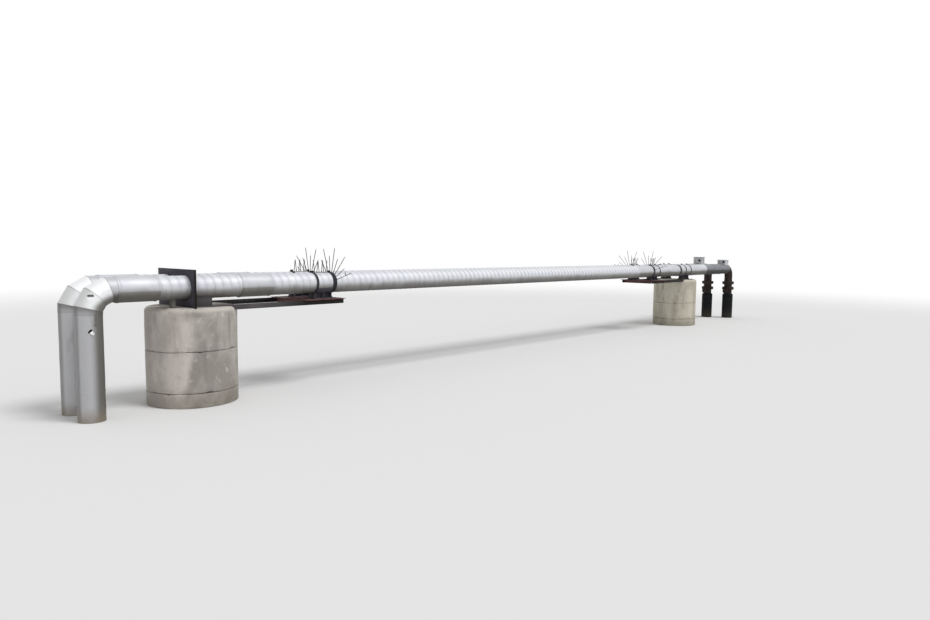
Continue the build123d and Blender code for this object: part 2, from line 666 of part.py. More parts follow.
def pipe_nodes(name, side):
    """All pieces of one pipe, from the left ground to the right."""
    bend_end = LEFT_BEND_RADIUS
    band = round_tube(SPIRAL_STATION, SPIRAL_STATION + BAND_WIDTH, SHEET_OD + 2 * BAND_RISE, CORE_OD)
    sleeves = [
        jacket(bend_end, SLEEVE_STATION, SLEEVE_OD, (COLLAR_STATION, SLEEVE_STATION - BEAD_INSET)),
        jacket(
            MUFF_START_STATION,
            MUFF_END_STATION,
            SLEEVE_OD,
            (MUFF_START_STATION + BEAD_INSET, MUFF_END_STATION - BEAD_INSET),
        ),
    ]
    elbow, riser = elbow_jacket(), riser_jacket()
    setback = FAR_END_SETBACK if side > 0 else 0
    end = RIGHT_END_STATION - setback
    if side < 0:
        elbow -= slot_pocket()
        riser -= tear_pocket()
    pieces = {
        "left_leg": [left_leg()],
        "riser_jacket": [riser],
        "elbow_jacket": [elbow],
        "joint_sleeves": sleeves,
        "spiral_short": [jacket(SLEEVE_STATION, MUFF_START_STATION, JACKET_OD)],
        "spiral_long": [jacket(MUFF_END_STATION, SPIRAL_STATION, JACKET_OD)],
        "sheet_jacket": [jacket(SPIRAL_STATION, SHEET_STATION, SHEET_OD) + band],
        "end_jacket": [jacket(SHEET_STATION, end + JACKET_LAP, SHEET_OD)],
        "carrier_pipe": [carrier_pipe(end)],
        "right_elbow": [Pos(-setback, 0, 0) * right_elbow()],
        "right_leg": [Pos(-setback, 0, 0) * right_leg()],
    }
    place = Pos(0, side * PIPE_SPACING / 2, 0)
    return {f"{name}_{piece}": [place * shape for shape in shapes] for piece, shapes in pieces.items()}


def write(nodes):
    os.makedirs("parts", exist_ok=True)
    for name, shapes in nodes.items():
        solids = [solid for shape in shapes for solid in (Pos(-MIDDLE, 0, 0) * shape).solids()]
        export_step(Compound(children=solids), f"parts/{name}.step")
        print(name, len(solids))


write({**pier_nodes(), **frame_nodes(), **paired_nodes(), **pipe_nodes("near", -1), **pipe_nodes("far", 1)})
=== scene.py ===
import math

import bmesh
import bpy
from mathutils import Matrix, Vector, noise


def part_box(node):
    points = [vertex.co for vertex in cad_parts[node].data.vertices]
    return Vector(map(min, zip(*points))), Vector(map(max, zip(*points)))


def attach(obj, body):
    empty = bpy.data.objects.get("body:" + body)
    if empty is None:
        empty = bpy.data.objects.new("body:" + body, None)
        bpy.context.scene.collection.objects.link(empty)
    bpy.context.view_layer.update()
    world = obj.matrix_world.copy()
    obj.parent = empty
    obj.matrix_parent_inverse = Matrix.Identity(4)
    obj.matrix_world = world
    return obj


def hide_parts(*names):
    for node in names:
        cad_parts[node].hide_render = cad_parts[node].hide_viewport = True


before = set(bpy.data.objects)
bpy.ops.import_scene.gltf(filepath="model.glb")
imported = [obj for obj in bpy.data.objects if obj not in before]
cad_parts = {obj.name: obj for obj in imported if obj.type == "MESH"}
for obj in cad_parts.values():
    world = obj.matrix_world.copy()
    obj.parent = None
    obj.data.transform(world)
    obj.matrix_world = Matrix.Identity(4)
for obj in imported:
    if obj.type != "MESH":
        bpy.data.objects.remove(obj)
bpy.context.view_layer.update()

# Metres. X runs along the pipes from left to right, Y away from the viewer, Z up.

NEAR, FAR = "near", "far"
SIDES = (NEAR, FAR)
OUTWARD = {NEAR: -1, FAR: 1}
TAU = 2 * math.pi
QUARTER = math.pi / 2
ORIGIN = Vector((0, 0, 0))
ALONG = Vector((1, 0, 0))
UP = Vector((0, 0, 1))


def low(node):
    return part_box(node)[0]


def high(node):
    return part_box(node)[1]


def middle(node):
    return (low(node) + high(node)) / 2


# Places and sizes read from the frame
AXIS_Z = middle("near_spiral_long").z
PIPE_Y = {side: middle(side + "_spiral_long").y for side in SIDES}
JACKET_R = (high("near_spiral_long").z - low("near_spiral_long").z) / 2
SHEET_R = (high("near_end_jacket").z - low("near_end_jacket").z) / 2
RISER_X = middle("near_left_leg").x
RISER_TOP = high("near_riser_jacket").z
BEND_R = AXIS_Z - RISER_TOP
SLEEVE_START = low("near_joint_sleeves").x
SLEEVE_END = low("near_spiral_short").x
MUFF_START = high("near_spiral_short").x
MUFF_END = low("near_spiral_long").x
BAND_X = high("near_spiral_long").x
SHEET_END = low("near_end_jacket").x
UPPER_JOINT = high("flanged_spools").z
LOWER_JOINT = low("flanged_spools").z
FLANGE_R = high("flanged_spools").y - PIPE_Y[FAR]
LEG_X = {side: high(side + "_right_leg").x - FLANGE_R for side in SIDES}
WRAP_TOP = high("foot_wraps").z
WRAP_R = high("foot_wraps").y - PIPE_Y[FAR]
PIER_X = {"left": middle("left_pier_foot").x, "right": middle("right_pier_foot").x}
TOWARDS_SPAN = {"left": 1, "right": -1}
SKIN_R = {"left": JACKET_R, "right": SHEET_R}
PIER_R = (high("left_pier_foot").x - low("left_pier_foot").x) / 2
PIER_TOP = high("left_pier_cap").z
DECK_TOP = high("left_frame_deck").z
PLATE_LOW, PLATE_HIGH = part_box("anchor_plate")

# Steel pipe
CARRIER_R = 0.1365
CARRIER_WALL = 0.0063
CARRIER_BORE = CARRIER_R - CARRIER_WALL
CORE_R = 0.1368
RIGHT_BEND_R = 0.254
BEND_TANGENT = 0.060

# Sheet metal
SEAM_PITCH = 0.137
SEAM_WIDTH = 0.009
SEAM_HEIGHT = 0.0022
SLEEVE_R = 0.186
BEAD_HEIGHT = 0.0055
BEAD_WIDTH = 0.018
SHEET_GAUGE = 0.0014
LAP = 0.020
LAP_EDGE = 0.004
RIVET_R = 0.0045
RIVET_HEIGHT = 0.0026
RIVET_SPACING = 0.115
SHEEN = 0.35
LAP_TURN = math.radians(99)
COLLAR_OFFSET = 0.035
BEAD_INSET = 0.026
BAND_RISE = 0.007
SHEET_LENGTH = 1.02
END_LENGTH = 0.78
MITRES = [math.radians(angle) for angle in (15, 45, 75)]
MITRE_RISE = 0.005
MITRE_RIVETS = 14
ROUND_STEPS = 96
WOUND_STEPS = 64

# Supports. Straps, bands and guards stand at distances from a pier's centre towards the span
SEAL_R = 0.1893
SEAL_INSET = 0.004
STRAPS = (2.042, 2.392)
SADDLE_STRAPS = (-0.145, 0.225)
PIER_BAND = 0.600
PIER_BAND_WIDTH = 0.100
STRAP_WIDTH = 0.050
STRAP_THICKNESS = 0.006
EAR_HEIGHT = 0.034
EAR_THICKNESS = 0.008
EAR_GAP = 0.006
SHOE_HALF_WIDTH = 0.120
SHOE_BASE = 0.012
SHOE_BOLT_INSET = (0.005, 0.022)
DECK_BOLT_INSET = 0.06
DECK_BOLT_Y = 0.476
DECK_BOLT_COUNT = 5
GUARD_OFFSET = 2.434
ROD_R = 0.0058
ROD_TIP = 0.030
ROD_LENGTHS = (0.450, 0.300)
ROD_LEANS = [math.radians(73 - 107 * number / 7) for number in range(8)]
BARB_LENGTH = 0.080
BARB_SHARE = 0.62
RING_HALF_WIDTH = 0.013
RING_THICKNESS = 0.008
COMB_COUNT = 6
COMB_LENGTH = 0.225
COMB_LEAN = math.radians(9)
COMB_BAR = (0.030, 0.006)
COMB_MARGIN = 0.029

# Right legs
FLANGE_THICKNESS = 0.026
SPOOL_WALL = 0.008
NECK_R = 0.153
NECK_HEIGHT = 0.044
STUD_COUNT = 12
STUD_CIRCLE = 0.1775
DRAIN_Z = LOWER_JOINT - 0.095
DRAIN_R = 0.030
DRAIN_FACE = CARRIER_R + 0.130
DRAIN_FLANGE_R = 0.0825
DRAIN_FLANGE_THICKNESS = 0.018
DRAIN_REAR = DRAIN_FACE - DRAIN_FLANGE_THICKNESS
DRAIN_COVER = DRAIN_FACE + 0.003
DRAIN_END = DRAIN_COVER + DRAIN_FLANGE_THICKNESS
DRAIN_STUD_CIRCLE = 0.0625
WRAP_PITCH = 0.085
WRAP_COLLAR = 0.030
TIE_SPACING = 0.240
TIE_HALF_WIDTH = 0.008
WRAP_SEED = {NEAR: 2.0, FAR: 9.0}

# Radius of a bolt and of its nut, height of the nut, and how far the bolt stands out of it
FLANGE_BOLT = (0.012, 0.0205, 0.019, 0.008)
DRAIN_BOLT = (0.008, 0.0135, 0.013, 0.006)
STRAP_BOLT = (0.006, 0.0105, 0.010, 0.006)
SHOE_BOLT = (0.008, 0.0139, 0.013, 0.012)
DECK_NUT = (0.0105, 0.009)

# Pier rings
RING_EDGE = 0.012
CAP_EDGE = 0.070
RING_ROW = 0.022
TOP_ROWS = 18
DRUM_STEPS = 176
CHIPPED = 0.075
PIER_SEEDS = {
    "left": {"cap": 6.0, "ring": 11.0, "foot": 17.0},
    "right": {"cap": 7.0, "ring": 12.0, "foot": 18.0},
}

# Vent housings
VENT_HALF_LENGTH = 0.135
VENT_HALF_WIDTH = 0.145
VENT_LIP = 0.018
VENT_HEIGHT = {NEAR: 0.130, FAR: 0.225}
VENT_X = {
    NEAR: high("vent_boxes").x - VENT_HALF_LENGTH - VENT_LIP,
    FAR: low("vent_boxes").x + VENT_HALF_LENGTH + VENT_LIP,
}
VENT_HOLE_SHIFT = -0.070
VENT_HOLE_R = 0.042
HINGE_X = -0.107
HINGE_R = 0.005
HINGE_LENGTH = 0.026
VENT_RIVET_X = 0.120
VENT_RIVET_INSET = 0.016
SKIRT_RIVET_SPACING = 0.105
LOCK_X = 0.085

# Damage to the near riser and bend
SLOT_LENGTH = 0.086
SLOT_WIDTH = 0.036
SLOT_LEAN = math.radians(38)
SLOT_SIDE = math.radians(38)
TEAR_Z = RISER_TOP - 0.211
TEAR_DIRECTION = math.radians(-100)
TEAR_OUTLINE = [
    (-0.043, -0.015),
    (-0.037, 0.009),
    (-0.014, 0.037),
    (0.009, 0.038),
    (0.015, 0.022),
    (-0.011, -0.003),
    (-0.028, -0.019),
]
OPENING_DEPTH = 0.050
WOOL_INSET = 0.010
BEND_LAP = 0.026
RISER_LAP = 0.410
RISER_ROWS = 30
RISER_SEAM = {NEAR: math.radians(-160), FAR: math.radians(150)}
MITRE_HALF_WIDTH = 0.0065
BEND_SEED = {NEAR: 3.0, FAR: 11.0}
RISER_SEED = {NEAR: 1.0, FAR: 6.0}
FLAP_SIZE = (0.056, 0.054, 1)
FLAP_ROWS = 6
FLAP_TURN = math.radians(42)
FLAP_LIFTS = (-38, 12, 14, 12, 10, 8)

# Light, floor, and where the photograph was taken from
SKY_LIGHT = 0.55
SUN_LIGHT = 1.60
SUN_FROM = (0.22, -0.50, 0.84)
SUN_WIDTH = math.radians(24)
FLOOR_R = 400.0
FLOOR_Z = -0.002
FLOOR_FADE = (16.0, 34.0)
STANDPOINT = (-14.5825, -10.50, 2.43)
HEADING = math.radians(42.3)
PITCH = math.radians(5.03)
ROLL = math.radians(0.647)
LENS = 27.1
SENSOR_WIDTH = 36.0


# Shader maths


class Value:
    """A socket of a node tree. Sums and products of values add the Math nodes that they need."""

    def __init__(self, nodes, socket):
        self.nodes = nodes
        self.socket = socket

    def maths(self, operation, first, second=0.0):
        return self.nodes.node("ShaderNodeMath", {"operation": operation}, {0: first, 1: second})

    def __add__(self, other):
        return self.maths("ADD", self, other)

    def __sub__(self, other):
        return self.maths("SUBTRACT", self, other)

    def __rsub__(self, other):
        return self.maths("SUBTRACT", other, self)

    def __mul__(self, other):
        return self.maths("MULTIPLY", self, other)

    def __truediv__(self, other):
        return self.maths("DIVIDE", self, other)

    __radd__ = __add__
    __rmul__ = __mul__

    def most(self, other):
        return self.maths("MAXIMUM", self, other)

    def size(self):
        return self.maths("ABSOLUTE", self)

    def whole(self):
        return self.maths("FLOOR", self)

    def part(self):
        return self.maths("FRACT", self)

    def root(self):
        return self.maths("SQRT", self)

    def turn(self, other):
        """Angle whose tangent is this value over the other one."""
        return self.maths("ARCTAN2", self, other)

    def rise(self, start, end):
        """Nought below start, one above end and a smooth rise between them; start may be the larger."""
        ends = {"From Min": start, "From Max": end, "Value": self}
        return self.nodes.node("ShaderNodeMapRange", {"interpolation_type": "SMOOTHSTEP"}, ends)


class Nodes:
    """A node tree with the few calls that the finishes are written in."""

    def __init__(self, tree):
        self.tree = tree

    def node(self, kind, settings, inputs, output=0):
        made = self.tree.nodes.new(kind)
        for name, setting in settings.items():
            setattr(made, name, setting)
        for name, value in inputs.items():
            self.feed(made.inputs[name], value)
        return Value(self, made.outputs[output])

    def feed(self, socket, value):
        if isinstance(value, Value):
            self.tree.links.new(value.socket, socket)
        elif socket.type == "RGBA":
            socket.default_value = (*value, 1)
        else:
            socket.default_value = value

    def place(self):
        return self.node("ShaderNodeTexCoord", {}, {}, "Object")

    def parts(self, vector):
        return [self.node("ShaderNodeSeparateXYZ", {}, {0: vector}, axis) for axis in range(3)]

    def vector(self, x, y, z):
        return self.node("ShaderNodeCombineXYZ", {}, {0: x, 1: y, 2: z})

    def stretched(self, vector, scale):
        return self.node("ShaderNodeVectorMath", {"operation": "MULTIPLY"}, {0: vector, 1: scale})

    def clouds(self, vector, scale, detail=3.0, roughness=0.55):
        sockets = {"Vector": vector, "Scale": scale, "Detail": detail, "Roughness": roughness}
        return self.node("ShaderNodeTexNoise", {}, sockets)

    def speckle(self, vector, scale):
        return self.node("ShaderNodeTexVoronoi", {}, {"Vector": vector, "Scale": scale})

    def apart(self, vector, point):
        return self.node("ShaderNodeVectorMath", {"operation": "DISTANCE"}, {0: vector, 1: point}, "Value")

    def chance(self, value):
        """A number from nought to one that changes with each whole value."""
        return self.node("ShaderNodeTexWhiteNoise", {"noise_dimensions": "1D"}, {"W": value})

    def mix(self, share, first, second):
        return self.node("ShaderNodeMix", {"data_type": "RGBA"}, {0: share, 6: first, 7: second}, 2)

    def bump(self, height, depth):
        return self.node("ShaderNodeBump", {}, {"Strength": 1.0, "Distance": depth, "Height": height})


class Finish(Nodes):
    """A material on one principled shader, whose colour is laid on coat by coat."""

    def __init__(self, name, colour, roughness=0.6, metallic=0.0, shine=0.5):
        self.material = bpy.data.materials.new(name)
        self.material.use_nodes = True
        super().__init__(self.material.node_tree)
        self.shader = self.tree.nodes["Principled BSDF"]
        self.colour = colour
        self.set("Base Color", colour)
        self.set("Roughness", roughness)
        self.set("Metallic", metallic)
        self.set("Specular IOR Level", shine)

    def set(self, name, value):
        self.feed(self.shader.inputs[name], value)

    def coat(self, share, colour):
        """Lays a share of a colour over what is there."""
        self.colour = self.mix(share, self.colour, colour)

    def done(self, height, depth):
        """The material with its coats and its uneven skin."""
        self.set("Base Color", self.colour)
        self.set("Normal", self.bump(height, depth))
        return self.material


# Finishes

RUST = (0.155, 0.058, 0.026)
RUST_DARK = (0.070, 0.030, 0.018)
DUST = (0.250, 0.205, 0.150)
SOOT = (0.095, 0.080, 0.066)
SHADOW_BLACK = (0.010, 0.007, 0.006)
JOINT_DIRT = (0.110, 0.105, 0.100)
PAINT_ROUGHNESS = 0.55
# Near-white, for the painted highlight along the spiral strips and for the halo below the slot.
NEAR_WHITE = (0.900, 0.915, 0.950)

# Each sheet's colour where rain washes it, in its dull patches, and in the grime and painted shade below its
# side
SPIRAL_COLOURS = (0.650, 0.663, 0.705), (0.450, 0.460, 0.490), (0.215, 0.205, 0.185)
PLAIN_COLOURS = (0.600, 0.611, 0.648), (0.415, 0.424, 0.450), (0.215, 0.200, 0.168)
# The end lengths' colours are darker all over: painted shadow of a tree across them.
SHADED_END_COLOURS = (0.215, 0.222, 0.245), (0.145, 0.148, 0.165), (0.050, 0.047, 0.044)
BEND_COLOURS = (0.700, 0.706, 0.740), (0.520, 0.525, 0.550), (0.220, 0.200, 0.180)


def pipe_place(finish, side):
    """Station along the pipe and angle round it from its crown."""
    x, y, z = finish.parts(finish.place())
    return x, (PIPE_Y[side] - y).turn(z - AXIS_Z)


def weathered_sheet(finish, colours, place, streak, height, tone):
    """Dulled sheet: bright where rain washes it, blotched, and streaked from its crown; painted shade
    darkens its crown a little and, with grime, its side and underside.
    """
    shade, grime_and_shade = colours[1:]
    blotch = finish.clouds(place, 2.3, 4.0).rise(0.35, 0.72)
    fine = finish.clouds(place, 19.0, 4.0, 0.6)
    run = finish.clouds(streak, 1.0, 3.0).rise(0.50, 0.76)
    level = height + blotch * 0.16 + tone * 0.10 - 0.13
    # Painted shade, partly grime: darker from the side down to the underside, with a little painted shade on
    # the crown as well.
    side, under = level.rise(0.12, -0.50), level.rise(-0.30, -0.95)
    finish.coat(level.rise(0.50, 1.0) * 0.10 + blotch * 0.20 + tone * 0.20, shade)
    finish.coat(side * 0.80, grime_and_shade)
    finish.coat(under * 0.75, [channel * 0.42 for channel in grime_and_shade])
    finish.coat(run * (0.10 + side * 0.18), SOOT)
    finish.coat(fine.rise(0.60, 0.80) * 0.14, DUST)
    finish.set("Roughness", 0.47 + blotch * 0.08 + side * 0.14 + fine * 0.08)
    return fine


def spiral_sheet(side, start):
    """Spirally seamed duct: each turn of the strip has its own tone, a painted highlight along its middle
    and painted shade beside its seams on its upper side, and dirt along its seam."""
    finish = Finish(side + "_spiral_sheet", SPIRAL_COLOURS[0], metallic=SHEEN)
    place = finish.place()
    x, turn = pipe_place(finish, side)
    wound = (x - start) / SEAM_PITCH - turn / TAU
    edge = (wound.part() - 0.5).size()
    streak = finish.vector(x * 9.0, turn * 0.55, 0.0)
    height = (finish.parts(place)[2] - AXIS_Z) / JACKET_R
    tone = finish.chance(wound.whole())
    fine = weathered_sheet(finish, SPIRAL_COLOURS, place, streak, height, tone)
    lit, spread = height.rise(-0.25, 0.35), x.rise(-8.0, -1.0)
    # Painted highlight along the middle of each turn and painted shade beside its seams, on the upper side
    # only.
    finish.coat(edge.rise(0.10, 0.42) * lit * (0.20 + spread * 0.20), NEAR_WHITE)
    finish.coat(edge.rise(0.24, 0.04) * lit * spread * 0.22, SPIRAL_COLOURS[1])
    patch = finish.clouds(place, 6.0).rise(0.35, 0.65)
    finish.coat(edge.rise(0.070, 0.036) * (0.04 + patch * 0.14), SOOT)
    return finish.done(fine + finish.clouds(place, 3.0) * 3.0, 0.0012)


def plain_sheet(name, side, colours):
    """Smooth sheet round a level pipe, with a tone of its own on each length; its grime and painted shade
    start higher below its lap.
    """
    finish = Finish(side + name, colours[0], metallic=SHEEN)
    place = finish.place()
    x, turn = pipe_place(finish, side)
    tone = finish.chance(((x - BAND_X) / SHEET_LENGTH).whole())
    streak = finish.vector(x * 7.0, turn * 0.5, 3.0)
    lapped = (turn * -OUTWARD[side]).rise(LAP_TURN, LAP_TURN + 0.04)
    height = (finish.parts(place)[2] - AXIS_Z) / SHEET_R - lapped * 0.22 - 0.06
    fine = weathered_sheet(finish, colours, place, streak, height, tone)
    return finish.done(fine + finish.clouds(place, 4.0) * 4.0, 0.0014)


def bend_sheet(side):
    """Sheet of the left bend and riser: painted light on the upper pieces, painted shade on the riser, its
    side away from the span, and the bend's throat and back, dark joints, and mud splashed up its foot.
    """
    finish = Finish(side + "_bend_sheet", BEND_COLOURS[0], metallic=SHEEN)
    place = finish.place()
    x, y, z = finish.parts(place)
    back, above = RISER_X + BEND_R - x, z - RISER_TOP
    swept = above.turn(back) / math.radians(30) + 0.5
    number = swept.whole()
    upper, last = number.rise(0.4, 0.6), number.rise(2.4, 2.6)
    lower = 1 - upper
    streak = finish.vector(x * 6.0, y * 6.0, z * 0.7)
    height = (z - AXIS_Z) / JACKET_R * last + (1 - last) * 0.3
    fine = weathered_sheet(finish, BEND_COLOURS, place, streak, height, finish.chance(number + 7.0))
    # Painted light and shade by how each piece faces: the riser darker grey, the two middle pieces
    # near-white, the last piece a little darker.
    finish.coat(lower * 0.72, (0.400, 0.400, 0.408))
    finish.coat((upper - last) * (0.78 - fine.rise(0.5, 0.8) * 0.25), (0.900, 0.915, 0.920))
    finish.coat(last * 0.28, (0.200, 0.203, 0.215))
    raised = above.most(0)
    reach = (back * back + raised * raised).root()
    # Painted shade along the outer back of the first middle piece.
    back_shade = reach.rise(BEND_R + JACKET_R * 0.30, BEND_R + JACKET_R * 0.95)
    finish.coat(back_shade * (upper - number.rise(1.4, 1.6)) * 0.55, (0.470, 0.472, 0.460))
    # Painted shade in the bend's throat.
    inner = (reach + (raised - 0.13).most(0) * 0.4).rise(BEND_R + 0.062, BEND_R - 0.070)
    finish.coat(inner * 0.86, (0.085, 0.078, 0.062))
    # Painted shade down the riser's side away from the span.
    outer = (RISER_X - x).rise(JACKET_R * 0.84, JACKET_R) * lower
    finish.coat(outer * 0.55, (0.100, 0.096, 0.088))
    finish.coat(swept.rise(0.45, 1.0) * lower * 0.62, JOINT_DIRT)
    patch = finish.clouds(place, 6.0).rise(0.35, 0.65)
    joint = (swept.part() - 0.5).size().rise(0.460, 0.487) * z.rise(RISER_TOP, RISER_TOP + 0.01)
    finish.coat(joint * (0.22 + patch * 0.30), JOINT_DIRT)
    lap = (above - BEND_LAP + 0.006).size().rise(0.010, 0.003) * x.rise(RISER_X + 0.25, RISER_X + 0.20)
    finish.coat(lap * 0.30, JOINT_DIRT)
    stain = finish.clouds(finish.stretched(place, (9.0, 9.0, 2.2)), 1.0, 3.0).rise(0.58, 0.70) * lower
    finish.coat(stain * 0.16, (0.120, 0.098, 0.085))
    if side == NEAR:
        stains_by_openings(finish, place)
    splash = (z + finish.clouds(place, 7.0) * 0.30).rise(0.42, 0.10)
    finish.coat(splash * 0.75, DUST)
    return finish.done(fine + finish.clouds(place, 4.0) * 3.0, 0.0016)


def stains_by_openings(finish, place):
    """Dark run and drip above the hole in the near riser, and the bright halo of the slot in its bend."""
    x, y, direction = RISER_X, PIPE_Y[NEAR], TEAR_DIRECTION
    run = on_upright(x, y, TEAR_Z + 0.160, direction + 0.33, JACKET_R).translation
    drip = on_upright(x, y, TEAR_Z + 0.090, direction + 0.32, JACKET_R).translation
    thin = (1.0, 1.0, 0.2)
    stained = finish.apart(finish.stretched(place, thin), run * Vector(thin)).rise(0.026, 0.008) * 0.55
    stained = stained.most(finish.apart(place, drip).rise(0.030, 0.010) * 0.65)
    finish.coat(stained, (0.085, 0.070, 0.068))
    halo = finish.apart(place, slot_place().translation - UP * 0.022).rise(0.062, 0.030)
    finish.coat(halo * 0.75, NEAR_WHITE)


def concrete(end, colour, stain, faded, span_side_shade):
    """Cast concrete: mottled, pitted, streaked with dark runs from its rim and damp at its foot, with a
    painted highlight along its top rim. Its side away from the span is painted lighter and its side towards
    the span painted in shade, each by a share."""
    finish = Finish(end + "_concrete", colour, roughness=0.9)
    place = finish.place()
    x, _, z = finish.parts(place)
    broad = finish.clouds(finish.stretched(place, (2.6, 2.6, 1.1)), 1.0, 3.0, 0.50)
    mottle = finish.clouds(place, 9.0, 6.0, 0.65)
    grain = finish.clouds(place, 75.0, 3.0, 0.7)
    pits = finish.speckle(place, 46.0).rise(0.16, 0.05) * finish.clouds(place, 11.0).rise(0.50, 0.60)
    runs = finish.clouds(finish.stretched(place, (6.0, 6.0, 0.9)), 1.0, 4.0, 0.62).rise(0.50, 0.74)
    ends = z + broad * 0.9
    hung = ends.rise(0.95, 1.75)
    top = (z + mottle * 0.05).rise(PIER_TOP - 0.075, PIER_TOP - 0.005)
    foot = (z + mottle * 0.5).rise(0.62, 0.30)
    finish.coat(broad.rise(0.42, 0.60) * 0.85, stain)
    across = (x - PIER_X[end]) * TOWARDS_SPAN[end] + broad * 0.3 - 0.15
    # Painted light on the side away from the span and painted shade on the side towards it, by the two
    # shares.
    finish.coat(across.rise(-0.30, -0.42) * faded, colour)
    finish.coat(across.rise(-0.42, -0.20) * span_side_shade, (0.235, 0.222, 0.200))
    finish.coat(runs * (0.10 + hung * 0.50) * (1 - top), (0.150, 0.128, 0.112))
    finish.coat(mottle.rise(0.53, 0.76) * 0.50, stain)
    finish.coat(mottle.rise(0.47, 0.27) * 0.50, (0.700, 0.660, 0.610))
    finish.coat(grain.rise(0.56, 0.72) * 0.40, (0.200, 0.180, 0.155))
    finish.coat(grain.rise(0.44, 0.28) * 0.30, (0.660, 0.630, 0.580))
    finish.coat(foot * 0.50, (0.165, 0.142, 0.110))
    # Painted highlight along the top rim.
    finish.coat(top * 0.50, (0.660, 0.620, 0.550))
    finish.coat(pits * 0.8, (0.090, 0.080, 0.066))
    return finish.done(mottle * 1.6 + grain * 0.8 - pits * 1.4, 0.0050)


def painted_steel(name, colour, rust, scale=9.0, painted_shadow=None):
    """Old paint that rust has broken through; rust is the share of the surface that shows it. The last
    argument, where given, lays on a share of painted shadow in black.
    """
    finish = Finish(name, colour, shine=0.15)
    place = finish.place()
    broken = finish.clouds(place, scale, 6.0, 0.68)
    tint = finish.clouds(place, scale * 3.1, 4.0, 0.6)
    faded = finish.clouds(place, 3.2, 3.0).rise(0.35, 0.70)
    edge = 0.74 - rust * 0.42
    patch = broken.rise(edge, edge + 0.07)
    finish.coat(faded * 0.45, [channel * 1.6 + 0.012 for channel in colour])
    finish.coat(patch, finish.mix(tint.rise(0.35, 0.65), RUST_DARK, RUST))
    finish.coat(tint.rise(0.62, 0.80) * 0.20, DUST)
    if painted_shadow:
        # Painted shadow, laid on in black.
        finish.coat(painted_shadow(finish.parts(place)), SHADOW_BLACK)
    finish.set("Roughness", PAINT_ROUGHNESS + patch * 0.28 + tint * 0.08)
    return finish.done(patch * 0.6 + tint * 0.5, 0.0016)


def plate_edge_shade(parts):
    """Share of painted shade on the anchor plate's edge towards the viewer."""
    return parts[1].rise(PLATE_LOW.y + 0.014, PLATE_LOW.y)


def frame_tip_shadow(parts):
    """Share of painted shadow on the frames: most from their tips to 0.8 m behind them, and none from 1.5 m
    on.
    """
    return (parts[0].size() + high("left_frame_beams").x).rise(1.5, 0.8) * 0.9


def wrap_tape():
    """Bitumen tape with dust in its folds."""
    finish = Finish("wrap_tape", (0.009, 0.011, 0.012), roughness=0.72, shine=0.12)
    place = finish.place()
    dust = finish.clouds(place, 8.0, 5.0, 0.65).rise(0.48, 0.78)
    z = finish.parts(place)[2]
    foot = z.rise(0.40, 0.05)
    finish.coat(dust * 0.08 + foot * 0.30, (0.110, 0.090, 0.066))
    return finish.done(finish.clouds(place, 30.0, 4.0) + dust, 0.003)


def vent_sheet():
    """Painted sheet of the vent housings, with runs of dirt under the lid, and painted shade on the inside
    behind their holes.
    """
    finish = Finish("vent_sheet", (0.600, 0.608, 0.625), metallic=0.25)
    place = finish.place()
    x = finish.parts(place)[0]
    runs = finish.clouds(finish.stretched(place, (26.0, 26.0, 2.5)), 1.0, 4.0).rise(0.48, 0.75)
    patch = finish.clouds(place, 7.0, 5.0).rise(0.40, 0.75)
    finish.coat(patch * 0.5, (0.360, 0.355, 0.350))
    finish.coat(runs * 0.45, (0.150, 0.118, 0.090))
    for side in SIDES:
        face = VENT_X[side] - VENT_HALF_LENGTH
        centre = (face, PIPE_Y[side] + VENT_HOLE_SHIFT, AXIS_Z + SHEET_R + VENT_HEIGHT[side] / 2)
        # Painted shade on the inner faces round each hole.
        hole_shade = finish.apart(place, centre).rise(0.064, 0.056) * x.rise(face + 0.001, face + 0.004)
        finish.coat(hole_shade, (0.008, 0.009, 0.009))
    finish.set("Roughness", 0.5 + patch * 0.2)
    return finish.done(patch, 0.001)


def wool():
    """Mineral wool, painted dark as shade in the riser and painted lighter as lit in the bend."""
    finish = Finish("wool", (0.030, 0.027, 0.023), roughness=1.0, shine=0.1)
    place = finish.place()
    clouds = finish.clouds(place, 40.0, 5.0, 0.65)
    # Painted light on the wool in the bend; the wool in the riser keeps its dark colour as painted shade.
    bend_light = finish.parts(place)[2].rise(RISER_TOP - 0.05, RISER_TOP)
    finish.coat(clouds.rise(0.38, 0.68), (0.014, 0.012, 0.010))
    finish.coat(bend_light * 0.9, (0.230, 0.228, 0.215))
    return finish.done(clouds, 0.0012)


def plain_finish(name, colour, other, roughness, metallic=0.0, scale=12.0):
    """Two tones in clouds, for small pieces."""
    finish = Finish(name, colour, roughness, metallic, shine=0.2)
    clouds = finish.clouds(finish.place(), scale, 5.0, 0.65)
    finish.coat(clouds.rise(0.38, 0.68), other)
    return finish.done(clouds, 0.0012)


# Making pieces


def at(x, y, z):
    return Matrix.Translation((x, y, z))


def turned(angle, axis):
    return Matrix.Rotation(angle, 4, axis)


def outwards(mesh):
    bmesh.ops.recalc_face_normals(mesh, faces=mesh.faces[:])


def merge(mesh, distance):
    bmesh.ops.remove_doubles(mesh, verts=mesh.verts[:], dist=distance)


def only_verts(geom):
    return [found for found in geom if isinstance(found, bmesh.types.BMVert)]


def add_copy(mesh, part):
    """Adds a part built by itself to a piece's mesh."""
    copy = bpy.data.meshes.new("part")
    part.to_mesh(copy)
    part.free()
    mesh.from_mesh(copy)
    bpy.data.meshes.remove(copy)


